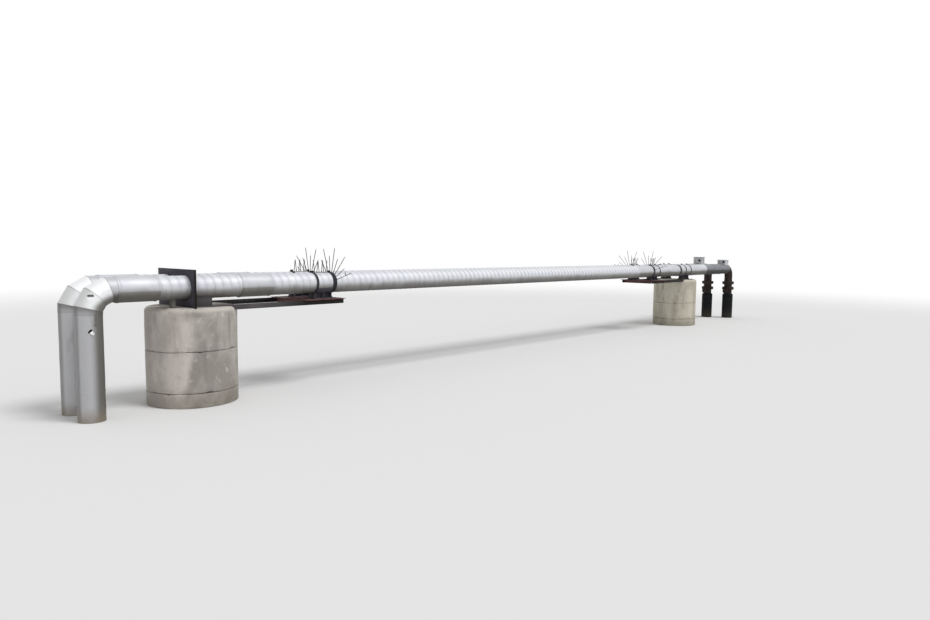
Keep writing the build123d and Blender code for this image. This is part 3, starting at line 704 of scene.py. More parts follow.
def lathe(mesh, outline, place, axis, steps=ROUND_STEPS, closed=True, travel=ORIGIN, moved=None):
    """Turns an outline about an axis through a place, and travels along it where the piece is wound."""
    part = bmesh.new()
    verts = [part.verts.new(point) for point in outline]
    ends = verts[1:] + verts[:1] if closed else verts[1:]
    edges = [part.edges.new(pair) for pair in zip(verts, ends)]
    bmesh.ops.spin(
        part,
        geom=verts + edges,
        cent=place,
        axis=axis,
        dvec=travel,
        angle=TAU,
        steps=steps,
        use_merge=travel == ORIGIN,
    )
    merge(part, 1e-6)
    if moved:
        bmesh.ops.transform(part, matrix=moved, verts=part.verts[:])
    add_copy(mesh, part)


def round_pipe(mesh, side, outline, **options):
    """Turns an outline of (station, radius) about a pipe's axis."""
    y = PIPE_Y[side]
    lathe(mesh, [(x, y, AXIS_Z + r) for x, r in outline], Vector((0, y, AXIS_Z)), ALONG, **options)


def round_upright(mesh, x, y, outline, **options):
    """Turns an outline of (radius, height) about an upright axis."""
    lathe(mesh, [(x + r, y, z) for r, z in outline], Vector((x, y, 0)), UP, **options)


def tube(mesh, side, start, end, inner, outer):
    """Square-edged tube round a pipe's axis, between two stations."""
    round_pipe(mesh, side, [(start, inner), (start, outer), (end, outer), (end, inner)])


def upright_tube(mesh, x, y, bottom, top, inner, outer):
    """Square-edged tube round an upright axis, between two heights."""
    round_upright(mesh, x, y, [(inner, bottom), (outer, bottom), (outer, top), (inner, top)])


def on_pipe(side, x, angle, radius):
    """Place on a pipe's skin: local Z points outwards, at an angle from the crown towards the viewer."""
    return at(x, PIPE_Y[side], AXIS_Z) @ turned(angle, "X") @ at(0, 0, radius)


def on_upright(x, y, z, angle, radius):
    """Place on an upright pipe's skin: local Z points outwards, at an angle from +X."""
    return at(x, y, z) @ turned(angle, "Z") @ turned(QUARTER, "Y") @ at(0, 0, radius)


def box(mesh, size, matrix, bevel=0.0):
    """Box of a size, centred on a place, with eased edges."""
    scale = Matrix.Diagonal((*size, 1))
    verts = bmesh.ops.create_cube(mesh, size=1, matrix=matrix @ scale)["verts"]
    if bevel:
        ease(mesh, list({edge for vert in verts for edge in vert.link_edges}), bevel)


def rod(mesh, radius, length, matrix, sides=12, tip=None):
    """Round bar, or a cone where it has a tip radius, standing on a place."""
    bmesh.ops.create_cone(
        mesh,
        cap_ends=True,
        segments=sides,
        radius1=radius,
        radius2=radius if tip is None else tip,
        depth=length,
        matrix=matrix @ at(0, 0, length / 2),
    )


def ease(mesh, edges, width):
    bmesh.ops.bevel(
        mesh,
        geom=edges,
        offset=width,
        offset_type="OFFSET",
        segments=2,
        profile=0.5,
        affect="EDGES",
        clamp_overlap=True,
        material=-1,
    )


def nut(mesh, matrix, radius, height):
    """Hexagon nut with an eased top, on its washer."""
    rod(mesh, radius * 1.18, height * 0.16, matrix, 16)
    rod(mesh, radius, height * 0.74, matrix @ at(0, 0, height * 0.16), 6)
    rod(mesh, radius, height * 0.10, matrix @ at(0, 0, height * 0.90), 6, radius * 0.86)


def bolt(mesh, matrix, shaft, radius, height, reach):
    """Nut on a bolt's end, which stands out of it."""
    nut(mesh, matrix, radius, height)
    rod(mesh, shaft, height + reach, matrix, 12)


def rivet(mesh, matrix):
    rod(mesh, RIVET_R, RIVET_HEIGHT, matrix, 8, RIVET_R * 0.55)


def dented(mesh, depth, size, seed):
    """Pushes a skin in and out a little, and keeps it above the ground."""
    outwards(mesh)
    mesh.normal_update()
    start = Vector((seed, seed * 1.7, seed * 0.6))
    shifts = [(vert, vert.normal * (depth * noise.noise(vert.co / size + start))) for vert in mesh.verts]
    for vert, shift in shifts:
        vert.co += shift
        vert.co.z = max(vert.co.z, 0.0)


def close_ends(mesh):
    rims = [edge for edge in mesh.edges if edge.is_boundary]
    bmesh.ops.holes_fill(mesh, edges=rims, sides=0)


def cut(mesh, place, direction):
    """Cuts off what lies beyond a place."""
    geom = mesh.verts[:] + mesh.edges[:] + mesh.faces[:]
    bmesh.ops.bisect_plane(mesh, geom=geom, dist=1e-6, plane_co=place, plane_no=direction, clear_outer=True)


def repeated(mesh, count, axis, pitch):
    """Joins copies of a wound strip's first turn to it, each a pitch further along the axis."""
    turn = mesh.verts[:] + mesh.edges[:] + mesh.faces[:]
    for number in range(1, count + 1):
        copy = bmesh.ops.duplicate(mesh, geom=turn)["geom"]
        bmesh.ops.translate(mesh, verts=only_verts(copy), vec=axis * (pitch * number))
    merge(mesh, 1e-4)


def piece(mesh, name, material, replaces=(), smooth=35):
    """Makes the object, gives it its finish and hands it to the frame."""
    outwards(mesh)
    data = bpy.data.meshes.new(name)
    mesh.to_mesh(data)
    mesh.free()
    data.shade_smooth()
    data.set_sharp_from_angle(angle=math.radians(smooth))
    data.materials.append(material)
    made = bpy.data.objects.new(name, data)
    bpy.context.scene.collection.objects.link(made)
    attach(made, "root")
    if replaces:
        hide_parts(*replaces)


def paint(node, material):
    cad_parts[node].material_slots[0].material = material


def eased(node, material, width=0.002, extra=None):
    """A CAD node's shape with its sharp edges eased, and with what is bolted to it."""
    mesh = bmesh.new()
    mesh.from_mesh(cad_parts[node].data)
    merge(mesh, 1e-5)
    bmesh.ops.dissolve_limit(
        mesh,
        angle_limit=math.radians(1),
        verts=mesh.verts[:],
        edges=mesh.edges[:],
        use_dissolve_boundaries=False,
    )
    sharp = [edge for edge in mesh.edges if edge.calc_face_angle(0) > math.radians(40)]
    ease(mesh, sharp, width)
    if extra:
        extra(mesh)
    piece(mesh, node + "_eased", material, [node])


# Left bend and risers


def bend_length(mesh, side, lean, start, end, radius):
    """One straight length of the mitred bend, between two planes through the bend's centre."""
    centre = Vector((RISER_X + BEND_R, PIPE_Y[side], RISER_TOP))
    middle_place = centre + BEND_R * Vector((-math.cos(lean), 0, math.sin(lean)))
    part = bmesh.new()
    bmesh.ops.create_cone(
        part,
        cap_ends=False,
        segments=ROUND_STEPS,
        radius1=radius,
        radius2=radius,
        depth=4 * radius,
        matrix=at(*middle_place) @ turned(lean, "Y"),
    )
    cut(part, centre, (-math.sin(start), 0, -math.cos(start)))
    cut(part, centre, (math.sin(end), 0, math.cos(end)))
    long_edges = [edge for edge in part.edges if not edge.is_boundary]
    bmesh.ops.subdivide_edges(part, edges=long_edges, cuts=7, use_grid_fill=True)
    add_copy(mesh, part)


def bend_skin(side, radius):
    """The four straight lengths of the left bend, joined."""
    mesh = bmesh.new()
    planes = [0.0, *MITRES, QUARTER]
    for number in range(4):
        bend_length(mesh, side, math.radians(30 * number), planes[number], planes[number + 1], radius)
    merge(mesh, 1e-4)
    outwards(mesh)
    return mesh


def mitre_spot(side, lean, turn, radius):
    """Place on the skin beside a mitre joint: local Z points outwards."""
    arm = at(RISER_X + BEND_R, PIPE_Y[side], RISER_TOP) @ turned(lean, "Y") @ at(-BEND_R, 0, 0)
    return arm @ turned(turn, "Z") @ turned(QUARTER, "Y") @ at(0, 0, radius)


def mitre_bead(mesh, side, lean, radius):
    """Rolled seam round a mitre joint, drawn out to the joint's oval."""
    centre = Vector((RISER_X + BEND_R, PIPE_Y[side], RISER_TOP))
    stretch = 1 / math.cos(MITRES[0])
    middle_place = centre + BEND_R * stretch * Vector((-math.cos(lean), 0, math.sin(lean)))
    turns = [TAU * number / 10 for number in range(10)]
    outline = [(radius - 0.002 + MITRE_RISE * math.sin(a), 0, MITRE_HALF_WIDTH * math.cos(a)) for a in turns]
    oval = Matrix.Diagonal((stretch, 1, 1, 1))
    lathe(mesh, outline, ORIGIN, UP, moved=at(*middle_place) @ turned(lean, "Y") @ oval)


def bend_jacket(side, material):
    """Mitred bend of sheet with rolled seams and rivets beside them."""
    mesh = bend_skin(side, JACKET_R)
    dented(mesh, 0.0020, 0.16, BEND_SEED[side])
    bmesh.ops.solidify(mesh, geom=mesh.faces[:], thickness=SHEET_GAUGE)
    if side == NEAR:
        mesh = with_slot(mesh)
    lap_ring(mesh, side, RISER_TOP + BEND_LAP, 12)
    for lean in MITRES:
        mitre_bead(mesh, side, lean, JACKET_R)
        for number in range(MITRE_RIVETS):
            turn = TAU * (number + 0.35) / MITRE_RIVETS
            inner = BEND_R + JACKET_R * math.cos(turn + math.pi)
            shift = math.radians(1.3) + 0.012 / max(inner, 0.1)
            rivet(mesh, mitre_spot(side, lean - shift, turn, JACKET_R + 0.0005))
    piece(mesh, side + "_bend_riveted", material, [side + "_elbow_jacket"])


def opened(mesh, cutter):
    """A skin with an opening of the cutter's shape through it."""
    objects = []
    for part in (mesh, cutter):
        outwards(part)
        data = bpy.data.meshes.new("opening")
        part.to_mesh(data)
        part.free()
        objects.append(bpy.data.objects.new("opening", data))
        bpy.context.scene.collection.objects.link(objects[-1])
    skin, tool = objects
    opening = skin.modifiers.new("opening", "BOOLEAN")
    opening.object = tool
    opening.solver = "EXACT"
    bpy.context.view_layer.update()
    shape = bpy.data.meshes.new_from_object(skin.evaluated_get(bpy.context.evaluated_depsgraph_get()))
    result = bmesh.new()
    result.from_mesh(shape)
    for data in (skin.data, tool.data, shape):
        bpy.data.meshes.remove(data)
    return result


def prism(mesh, outline, matrix, depth):
    """Solid of an outline's shape through a place, along local Z."""
    verts = [mesh.verts.new(matrix @ Vector((x, y, -depth / 2))) for x, y in outline]
    face = mesh.faces.new(verts)
    moved = only_verts(bmesh.ops.extrude_face_region(mesh, geom=[face])["geom"])
    bmesh.ops.translate(mesh, verts=moved, vec=matrix.to_3x3() @ Vector((0, 0, depth)))


def slot_place():
    """Middle of the oval slot in the near bend, with local X round the pipe and Z outwards."""
    back, rise = math.cos(SLOT_LEAN), math.sin(SLOT_LEAN)
    out = JACKET_R * math.sin(SLOT_SIDE) + BEND_R
    centre = Vector((RISER_X + BEND_R, PIPE_Y[NEAR], RISER_TOP))
    point = centre + Vector((-out * back, -JACKET_R * math.cos(SLOT_SIDE), out * rise))
    outward = Vector((-math.sin(SLOT_SIDE) * back, -math.cos(SLOT_SIDE), math.sin(SLOT_SIDE) * rise))
    level = outward.cross(UP).normalized()
    return at(*point) @ Matrix((level, outward.cross(level), outward)).transposed().to_4x4()


def with_slot(mesh):
    """The near bend's skin with its oval slot."""
    half, straight = SLOT_WIDTH / 2, (SLOT_LENGTH - SLOT_WIDTH) / 2
    arcs = [math.pi * number / 8 for number in range(9)]
    outline = [(straight + half * math.sin(a), half * math.cos(a)) for a in arcs]
    outline += [(-straight - half * math.sin(a), -half * math.cos(a)) for a in arcs]
    cutter = bmesh.new()
    prism(cutter, outline, slot_place(), OPENING_DEPTH)
    return opened(mesh, cutter)


def tear_place():
    return on_upright(RISER_X, PIPE_Y[NEAR], TEAR_Z, TEAR_DIRECTION, JACKET_R)


def with_tear(mesh):
    """The near riser's skin with its ragged hole; local X of its place points down and Y along the skin."""
    cutter = bmesh.new()
    prism(cutter, [(-z, a) for a, z in TEAR_OUTLINE], tear_place(), OPENING_DEPTH)
    return opened(mesh, cutter)


def tear_flap(material):
    """Tongue of sheet folded out of the torn hole, down over the skin below it."""
    mesh = bmesh.new()
    columns = 4
    bmesh.ops.create_grid(mesh, x_segments=FLAP_ROWS, y_segments=columns, size=0.5)
    bmesh.ops.scale(mesh, vec=FLAP_SIZE, verts=mesh.verts[:])
    bmesh.ops.translate(mesh, vec=(FLAP_SIZE[0] / 2, 0, 0), verts=mesh.verts[:])
    ordered = sorted(mesh.verts, key=lambda vert: vert.co.x)
    for row, lift in enumerate(FLAP_LIFTS):
        outer = ordered[row * (columns + 1) :]
        bend = Matrix.Rotation(math.radians(lift), 3, "Y")
        bmesh.ops.rotate(mesh, verts=outer, cent=outer[0].co.copy(), matrix=bend)
        bmesh.ops.scale(mesh, vec=(1, 0.92, 1), verts=outer)
    bmesh.ops.solidify(mesh, geom=mesh.faces[:], thickness=0.0012)
    edge = tear_place() @ at(-0.002, -0.006, 0.001) @ turned(FLAP_TURN, "Z")
    bmesh.ops.transform(mesh, matrix=edge, verts=mesh.verts[:])
    piece(mesh, "near_torn_flap", material)


def lap_ring(mesh, side, height, count):
    """Edge of an upper length of the riser lapped over the lower one, with its rivets."""
    x, y = RISER_X, PIPE_Y[side]
    ring = [(JACKET_R - 0.001, height), (JACKET_R + 0.0022, height), (JACKET_R + 0.0026, height + 0.004)]
    ring += [(JACKET_R + 0.0004, height + 0.016), (JACKET_R - 0.001, height + 0.016)]
    round_upright(mesh, x, y, ring)
    for number in range(count):
        rivet(mesh, on_upright(x, y, height - 0.018, TAU * (number + 0.4) / count, JACKET_R))


def riser(side, material):
    """Riser jacket in lapped lengths, with its upright lap and rivets."""
    node = side + "_riser_jacket"
    mesh = bmesh.new()
    x, y = RISER_X, PIPE_Y[side]
    rows = [(JACKET_R, RISER_TOP * number / RISER_ROWS) for number in range(RISER_ROWS + 1)]
    round_upright(mesh, x, y, rows, closed=False)
    dented(mesh, 0.0022, 0.20, RISER_SEED[side])
    bmesh.ops.solidify(mesh, geom=mesh.faces[:], thickness=SHEET_GAUGE)
    if side == NEAR:
        mesh = with_tear(mesh)
    lap_ring(mesh, side, RISER_LAP, 10)
    angle = RISER_SEAM[side]
    strip = on_upright(x, y, RISER_TOP / 2, angle, JACKET_R + SHEET_GAUGE / 2)
    box(mesh, (RISER_TOP - 0.02, LAP_EDGE, SHEET_GAUGE * 2), strip)
    for number in range(11):
        rivet(mesh, on_upright(x, y, 0.08 + number * 0.125, angle - 0.07, JACKET_R))
    piece(mesh, node + "_riveted", material, [node])


def insulation(side, material):
    """Wool behind the openings in a riser and its bend."""
    radius = JACKET_R - WOOL_INSET
    mesh = bend_skin(side, radius)
    close_ends(mesh)
    upright_tube(mesh, RISER_X, PIPE_Y[side], 0.02, RISER_TOP, CORE_R, radius)
    dented(mesh, 0.003, 0.03, 5.0)
    piece(mesh, side + "_wool", material)


# Right legs


def right_bend(mesh, side):
    """Quarter bend of bare pipe, bored through."""
    bottom = AXIS_Z - RIGHT_BEND_R
    start = at(LEG_X[side], PIPE_Y[side], bottom)
    centre = Vector((LEG_X[side] - RIGHT_BEND_R, PIPE_Y[side], bottom))
    part = bmesh.new()
    circle = bmesh.ops.create_circle(part, segments=64, radius=CARRIER_R, matrix=start)["verts"]
    bmesh.ops.spin(
        part,
        geom=circle + part.edges[:],
        cent=centre,
        axis=(0, -1, 0),
        dvec=ORIGIN,
        angle=QUARTER,
        steps=24,
        use_merge=False,
    )
    outwards(part)
    bmesh.ops.solidify(part, geom=part.faces[:], thickness=CARRIER_WALL)
    add_copy(mesh, part)


def weld(radius, station, size=0.005):
    """Closed outline of a weld bead that runs round a pipe."""
    turns = [TAU * number / 8 for number in range(8)]
    return [(radius + size * 0.8 * math.sin(a), station + size * math.cos(a)) for a in turns]


def flange_steps(face, direction):
    """Outline of a welding-neck flange from its face's rim to its neck's end."""
    rim, hollow = 0.0025, 0.006
    steps = [(FLANGE_R - rim, 0), (FLANGE_R, rim)]
    steps += [(FLANGE_R, FLANGE_THICKNESS - rim), (FLANGE_R - rim, FLANGE_THICKNESS)]
    steps += [(NECK_R + hollow, FLANGE_THICKNESS), (NECK_R, FLANGE_THICKNESS + hollow)]
    steps += [(CARRIER_R, FLANGE_THICKNESS + NECK_HEIGHT)]
    return [(r, face + direction * h) for r, h in steps]


def right_elbow(side, material):
    """Bare bend with its drop, upper flange and welds."""
    mesh = bmesh.new()
    x, y = LEG_X[side], PIPE_Y[side]
    bottom = AXIS_Z - RIGHT_BEND_R
    right_bend(mesh, side)
    drop = [(CARRIER_BORE, UPPER_JOINT), *flange_steps(UPPER_JOINT, 1)]
    drop += [(CARRIER_R, bottom), (CARRIER_BORE, bottom)]
    round_upright(mesh, x, y, drop)
    for height in (bottom, UPPER_JOINT + FLANGE_THICKNESS + NECK_HEIGHT):
        round_upright(mesh, x, y, weld(CARRIER_R, height))
    end = x - RIGHT_BEND_R
    tube(mesh, side, end - BEND_TANGENT, end, CARRIER_BORE, CARRIER_R)
    round_pipe(mesh, side, [(station, r) for r, station in weld(CARRIER_R, end)])
    piece(mesh, side + "_right_elbow_welded", material, [side + "_right_elbow"])


def spools(material):
    """Short make-up pieces between the two flange joints of both legs."""
    mesh = bmesh.new()
    inner = CARRIER_R - SPOOL_WALL
    for side in SIDES:
        lower, upper = flange_steps(LOWER_JOINT, 1), flange_steps(UPPER_JOINT, -1)
        outline = [(inner, LOWER_JOINT), *lower, *upper[::-1], (inner, UPPER_JOINT)]
        round_upright(mesh, LEG_X[side], PIPE_Y[side], outline)
    piece(mesh, "flanged_spools_turned", material, ["flanged_spools"])


def drain(mesh, side):
    """Drain branch towards the span, closed by a bolted blank flange."""
    y, rim = PIPE_Y[side], 0.002
    root, outer, gasket = CARRIER_R * 0.9, DRAIN_FLANGE_R, DRAIN_FLANGE_R * 0.7
    steps = [(root, 0), (root, DRAIN_R), (DRAIN_REAR, DRAIN_R), (DRAIN_REAR, outer - rim)]
    steps += [(DRAIN_REAR + rim, outer), (DRAIN_FACE, outer), (DRAIN_FACE, gasket)]
    steps += [(DRAIN_COVER, gasket), (DRAIN_COVER, outer), (DRAIN_END - rim, outer)]
    steps += [(DRAIN_END, outer - rim), (DRAIN_END, 0)]
    outline = [(LEG_X[side] - x, y, DRAIN_Z + r) for x, r in steps]
    lathe(mesh, outline, Vector((0, y, DRAIN_Z)), ALONG, steps=48, closed=False)
    collar = [(LEG_X[side] - x, y, DRAIN_Z + r) for r, x in weld(DRAIN_R, CARRIER_R + 0.002, 0.004)]
    lathe(mesh, collar, Vector((0, y, DRAIN_Z)), ALONG, steps=32)


def drain_studs(mesh, side):
    for number in range(4):
        arm = at(LEG_X[side], PIPE_Y[side], DRAIN_Z) @ turned(TAU * (number + 0.5) / 4, "X")
        for reach, direction in ((DRAIN_END, -1), (DRAIN_REAR, 1)):
            spot = arm @ at(-reach, 0, DRAIN_STUD_CIRCLE) @ turned(direction * QUARTER, "Y")
            bolt(mesh, spot, *DRAIN_BOLT)


def right_leg(side, material):
    mesh = bmesh.new()
    flange = flange_steps(LOWER_JOINT, -1)[::-1]
    outline = [(CARRIER_BORE, 0), (CARRIER_R, 0), *flange, (CARRIER_BORE, LOWER_JOINT)]
    round_upright(mesh, LEG_X[side], PIPE_Y[side], outline)
    drain(mesh, side)
    piece(mesh, side + "_right_leg_welded", material, [side + "_right_leg"])


def flange_studs(material):
    """Studs and nuts of the flange joints and drains."""
    mesh = bmesh.new()
    for side in SIDES:
        for joint in (UPPER_JOINT, LOWER_JOINT):
            for number in range(STUD_COUNT):
                turn = turned(TAU * (number + 0.5) / STUD_COUNT, "Z")
                for direction, flip in ((1, 0), (-1, math.pi)):
                    foot = at(LEG_X[side], PIPE_Y[side], joint + direction * FLANGE_THICKNESS)
                    bolt(mesh, foot @ turn @ at(STUD_CIRCLE, 0, 0) @ turned(flip, "X"), *FLANGE_BOLT)
        drain_studs(mesh, side)
    piece(mesh, "flange_studs", material)


def foot_wraps(material):
    """Tape wound up the feet of the right legs, each turn lapped on the last, and its ties."""
    mesh = bmesh.new()
    turns = math.ceil(WRAP_TOP / WRAP_PITCH) + 1
    for side in SIDES:
        part = bmesh.new()
        x, y = LEG_X[side], PIPE_Y[side]
        face = WRAP_R - 0.007
        tape = [(face, 0), (face + 0.0045, WRAP_PITCH * 0.12)]
        tape += [(face + 0.003, WRAP_PITCH * 0.55), (face, WRAP_PITCH)]
        outline = [(r, z - 1.5 * WRAP_PITCH) for r, z in tape]
        travel = UP * (WRAP_PITCH / WOUND_STEPS)
        round_upright(part, x, y, outline, steps=WOUND_STEPS, closed=False, travel=travel)
        repeated(part, turns, UP, WRAP_PITCH)
        cut(part, ORIGIN, -UP)
        cut(part, UP * (WRAP_TOP - WRAP_COLLAR), UP)
        close_ends(part)
        dented(part, 0.0022, 0.05, WRAP_SEED[side])
        add_copy(mesh, part)
        collar = [(CORE_R, WRAP_TOP - 0.045), (WRAP_R - 0.003, WRAP_TOP - 0.045)]
        collar += [(WRAP_R - 0.004, WRAP_TOP - WRAP_COLLAR), (WRAP_R - 0.036, WRAP_TOP), (CORE_R, WRAP_TOP)]
        round_upright(mesh, x, y, collar)
        for number in range(1, 4):
            height = number * TIE_SPACING
            bottom, top = height - TIE_HALF_WIDTH, height + TIE_HALF_WIDTH
            upright_tube(mesh, x, y, bottom, top, WRAP_R - 0.010, WRAP_R - 0.001)
            buckle = on_upright(x, y, height, math.radians(-120), WRAP_R - 0.003)
            box(mesh, (0.022, 0.030, 0.005), buckle, 0.001)
    piece(mesh, "foot_wraps_taped", material, ["foot_wraps"])


# Supports


def band(mesh, side, x, width, inner, outer, rim):
    """Flat band round a jacket, eased along both rims."""
    start, end = x - width / 2, x + width / 2
    outline = [(start, inner), (start, outer - rim), (start + rim, outer), (end - rim, outer)]
    round_pipe(mesh, side, outline + [(end, outer - rim), (end, inner)])


def clamp(mesh, side, x, radius):
    """Strap with its two ears and their bolt, which stands out on one side."""
    outer = radius + STRAP_THICKNESS
    band(mesh, side, x, STRAP_WIDTH, radius + 0.0003, outer, 0.0012)
    y, foot = PIPE_Y[side], AXIS_Z + outer - 0.003
    shaft, nut_r, nut_height, reach = STRAP_BOLT
    for direction, end in ((-1, 0.0), (1, reach)):
        spot = at(x, y + direction * (EAR_GAP + EAR_THICKNESS) / 2, foot + EAR_HEIGHT / 2)
        box(mesh, (STRAP_WIDTH, EAR_THICKNESS, EAR_HEIGHT), spot, 0.0015)
        face = at(x, y + direction * (EAR_GAP / 2 + EAR_THICKNESS), foot + EAR_HEIGHT * 0.58)
        bolt(mesh, face @ turned(-direction * QUARTER, "X"), shaft, nut_r, nut_height, end)


def plate_seals(material):
    """Packing in the gap between each pipe and its hole in the anchor plate."""
    mesh = bmesh.new()
    for side in SIDES:
        tube(mesh, side, PLATE_LOW.x + SEAL_INSET, PLATE_HIGH.x - SEAL_INSET, JACKET_R, SEAL_R)
    piece(mesh, "plate_seals", material)


def frame_straps(end, material):
    mesh = bmesh.new()
    for side in SIDES:
        for offset in STRAPS:
            clamp(mesh, side, PIER_X[end] + TOWARDS_SPAN[end] * offset, SKIN_R[end])
    piece(mesh, end + "_frame_straps_bolted", material, [end + "_frame_straps"])


def pier_straps(material):
    """Straps over the sliding saddles, and the wide band beyond them."""
    mesh = bmesh.new()
    for side in SIDES:
        for offset in SADDLE_STRAPS:
            clamp(mesh, side, PIER_X["right"] - offset, SHEET_R)
        x = PIER_X["right"] - PIER_BAND
        band(mesh, side, x, PIER_BAND_WIDTH, SHEET_R, SHEET_R + BAND_RISE, 0.002)
    piece(mesh, "pier_saddle_straps_bolted", material, ["pier_saddle_straps"])


def shoe_bolts(floor, middle_x, half_length):
    """Anchor bolts at the corners of both shoes' base plates."""

    def add(mesh):
        reach, width = half_length - SHOE_BOLT_INSET[0], SHOE_HALF_WIDTH - SHOE_BOLT_INSET[1]
        for side in SIDES:
            for end in (-1, 1):
                for flank in (-1, 1):
                    spot = at(middle_x + end * reach, PIPE_Y[side] + flank * width, floor + SHOE_BASE)
                    bolt(mesh, spot, *SHOE_BOLT)

    return add


def deck_bolts(node):
    """Two rows of bolts that hold the deck plate to its beams."""

    def add(mesh):
        corner_low, corner_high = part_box(node)
        row = corner_high.x - corner_low.x - 2 * DECK_BOLT_INSET
        for number in range(DECK_BOLT_COUNT):
            x = corner_low.x + DECK_BOLT_INSET + number * row / (DECK_BOLT_COUNT - 1)
            for flank in (-1, 1):
                nut(mesh, at(x, flank * DECK_BOLT_Y, corner_high.z), *DECK_NUT)

    return add


def pointed_rod(mesh, spot, length):
    rod(mesh, ROD_R, length - ROD_TIP, spot, 8)
    rod(mesh, ROD_R, ROD_TIP, spot @ at(0, 0, length - ROD_TIP), 8, 0.0012)


def guard_ring(mesh, side, x, radius):
    """Ring clamp with its fan of pointed rods, the lowest one with a barb."""
    tube(mesh, side, x - RING_HALF_WIDTH, x + RING_HALF_WIDTH, radius, radius + RING_THICKNESS)
    for number, lean in enumerate(ROD_LEANS):
        spot = on_pipe(side, x, lean * -OUTWARD[side], radius + RING_THICKNESS / 2)
        length = ROD_LENGTHS[number % 2]
        pointed_rod(mesh, spot, length)
        if number == 0:
            barb = spot @ at(0, 0, length * BARB_SHARE) @ turned(QUARTER * OUTWARD[side], "X")
            pointed_rod(mesh, barb, BARB_LENGTH)


def guard_comb(mesh, side, end, foot):
    """Comb of pointed rods on a pipe's crown between two straps, leaning to either side in turn."""
    pier_x, ahead = PIER_X[end], TOWARDS_SPAN[end]
    start, finish = STRAPS[0] + COMB_MARGIN, STRAPS[1] - COMB_MARGIN
    wide, tall = COMB_BAR
    bar = at(pier_x + ahead * (start + finish) / 2, PIPE_Y[side], foot + tall / 2)
    box(mesh, (finish - start, wide, tall), bar, 0.001)
    for number in range(COMB_COUNT):
        station = start + (number + 0.5) * (finish - start) / COMB_COUNT
        lean = COMB_LEAN * (-1) ** number * -OUTWARD[side]
        spot = at(pier_x + ahead * station, PIPE_Y[side], foot + tall / 2)
        pointed_rod(mesh, spot @ turned(-lean, "X"), COMB_LENGTH)


def guards(material):
    """Climb guards at both frames' outer straps."""
    mesh = bmesh.new()
    for end, x in PIER_X.items():
        for side in SIDES:
            guard_ring(mesh, side, x + TOWARDS_SPAN[end] * GUARD_OFFSET, SKIN_R[end])
            guard_comb(mesh, side, end, AXIS_Z + SKIN_R[end])
    piece(mesh, "climb_guards_pointed", material, ["climb_guards"])


def drum_outline(bottom, top, round_top):
    """Section of a pier ring, from its centre below, up its side, to its centre on top."""
    edge = CAP_EDGE if round_top else RING_EDGE
    height = top - edge - bottom - RING_EDGE
    rows = math.ceil(height / RING_ROW)
    outline = [(r, bottom) for r in (0, PIER_R * 0.5, PIER_R - RING_EDGE)]
    outline += [(PIER_R, bottom + RING_EDGE + height * number / rows) for number in range(rows + 1)]
    if round_top:
        turns = [QUARTER * number / 6 for number in range(1, 7)]
        outline += [(PIER_R - edge + edge * math.cos(a), top - edge + edge * math.sin(a)) for a in turns]
    else:
        outline.append((PIER_R - edge, top))
    flat = outline[-1][0]
    return outline + [(flat * (1 - number / TOP_ROWS), top) for number in range(1, TOP_ROWS + 1)]


def drum(node, end, material, seed, round_top):
    """One cast ring of a pier, worn at its edges and uneven all over, apart from its foot on the ground."""
    bottom, top = low(node).z, high(node).z
    mesh = bmesh.new()
    outline = drum_outline(bottom, top, round_top)
    round_upright(mesh, PIER_X[end], 0.0, outline, steps=DRUM_STEPS, closed=False)
    outwards(mesh)
    mesh.normal_update()
    shift = Vector((seed, seed * 0.7, seed * 1.9))
    centre = Vector((PIER_X[end], 0))
    for vert in mesh.verts:
        if vert.co.z < bottom + 1e-5 and not bottom:
            continue
        place = vert.co + shift
        move = 0.0042 * noise.noise(place / 0.33) + 0.0016 * noise.noise(place / 0.055) - 0.0026
        edge = min(abs(vert.co.z - bottom), abs(top - vert.co.z))
        chip = noise.noise(place / 0.085) - 0.30
        if chip > 0 and edge < CHIPPED and (vert.co.xy - centre).length > PIER_R - 0.09:
            move -= min(chip * 0.055, 0.013)
        vert.co += vert.normal * min(move, 0.0005)
    piece(mesh, node + "_cast", material, [node], smooth=50)


def vent_fittings(mesh):
    """Door hinges, lock and screws, and the ring round the hole, on both housings."""
    base = AXIS_Z + SHEET_R
    for side in SIDES:
        x, y, height = VENT_X[side], PIPE_Y[side], VENT_HEIGHT[side]
        front = y - VENT_HALF_WIDTH
        for share in (0.32, 0.68):
            hinge = at(x + HINGE_X, front - 0.001, base + height * share - HINGE_LENGTH / 2)
            rod(mesh, HINGE_R, HINGE_LENGTH, hinge, 10)
        for corner_x in (-VENT_RIVET_X, VENT_RIVET_X):
            for level in (VENT_RIVET_INSET, height - VENT_RIVET_INSET):
                rivet(mesh, at(x + corner_x, front, base + level) @ turned(QUARTER, "X"))
        lock = at(x + LOCK_X, front + 0.004, base + height / 2) @ turned(QUARTER, "X")
        rod(mesh, 0.011, 0.005, lock, 16)
        box(mesh, (0.005, 0.014, 0.004), lock @ at(0, 0, 0.006), 0.0005)
        for number in (-1, 0, 1):
            for flank in (-1, 1):
                skirt = at(x + number * SKIRT_RIVET_SPACING, y + flank * VENT_HALF_WIDTH, base - 0.012)
                rivet(mesh, skirt @ turned(-flank * QUARTER, "X"))
        vent_ring(mesh, x - VENT_HALF_LENGTH, y + VENT_HOLE_SHIFT, base + height / 2)


def vent_ring(mesh, x, y, z):
    """Rim round a housing's hole."""
    ring = VENT_HOLE_R + 0.001
    steps = [(0.001, ring), (-0.003, ring), (-0.0035, ring + 0.004)]
    steps += [(-0.001, ring + 0.007), (0.001, ring + 0.007)]
    lathe(mesh, [(x + step, y, z + r) for step, r in steps], Vector((0, y, z)), ALONG, steps=32)


# Jackets


def winding_start(node):
    """Station where a spiral jacket's strip starts, ahead of the trimmed end."""
    return low(node).x - LAP - SEAM_PITCH * 1.5


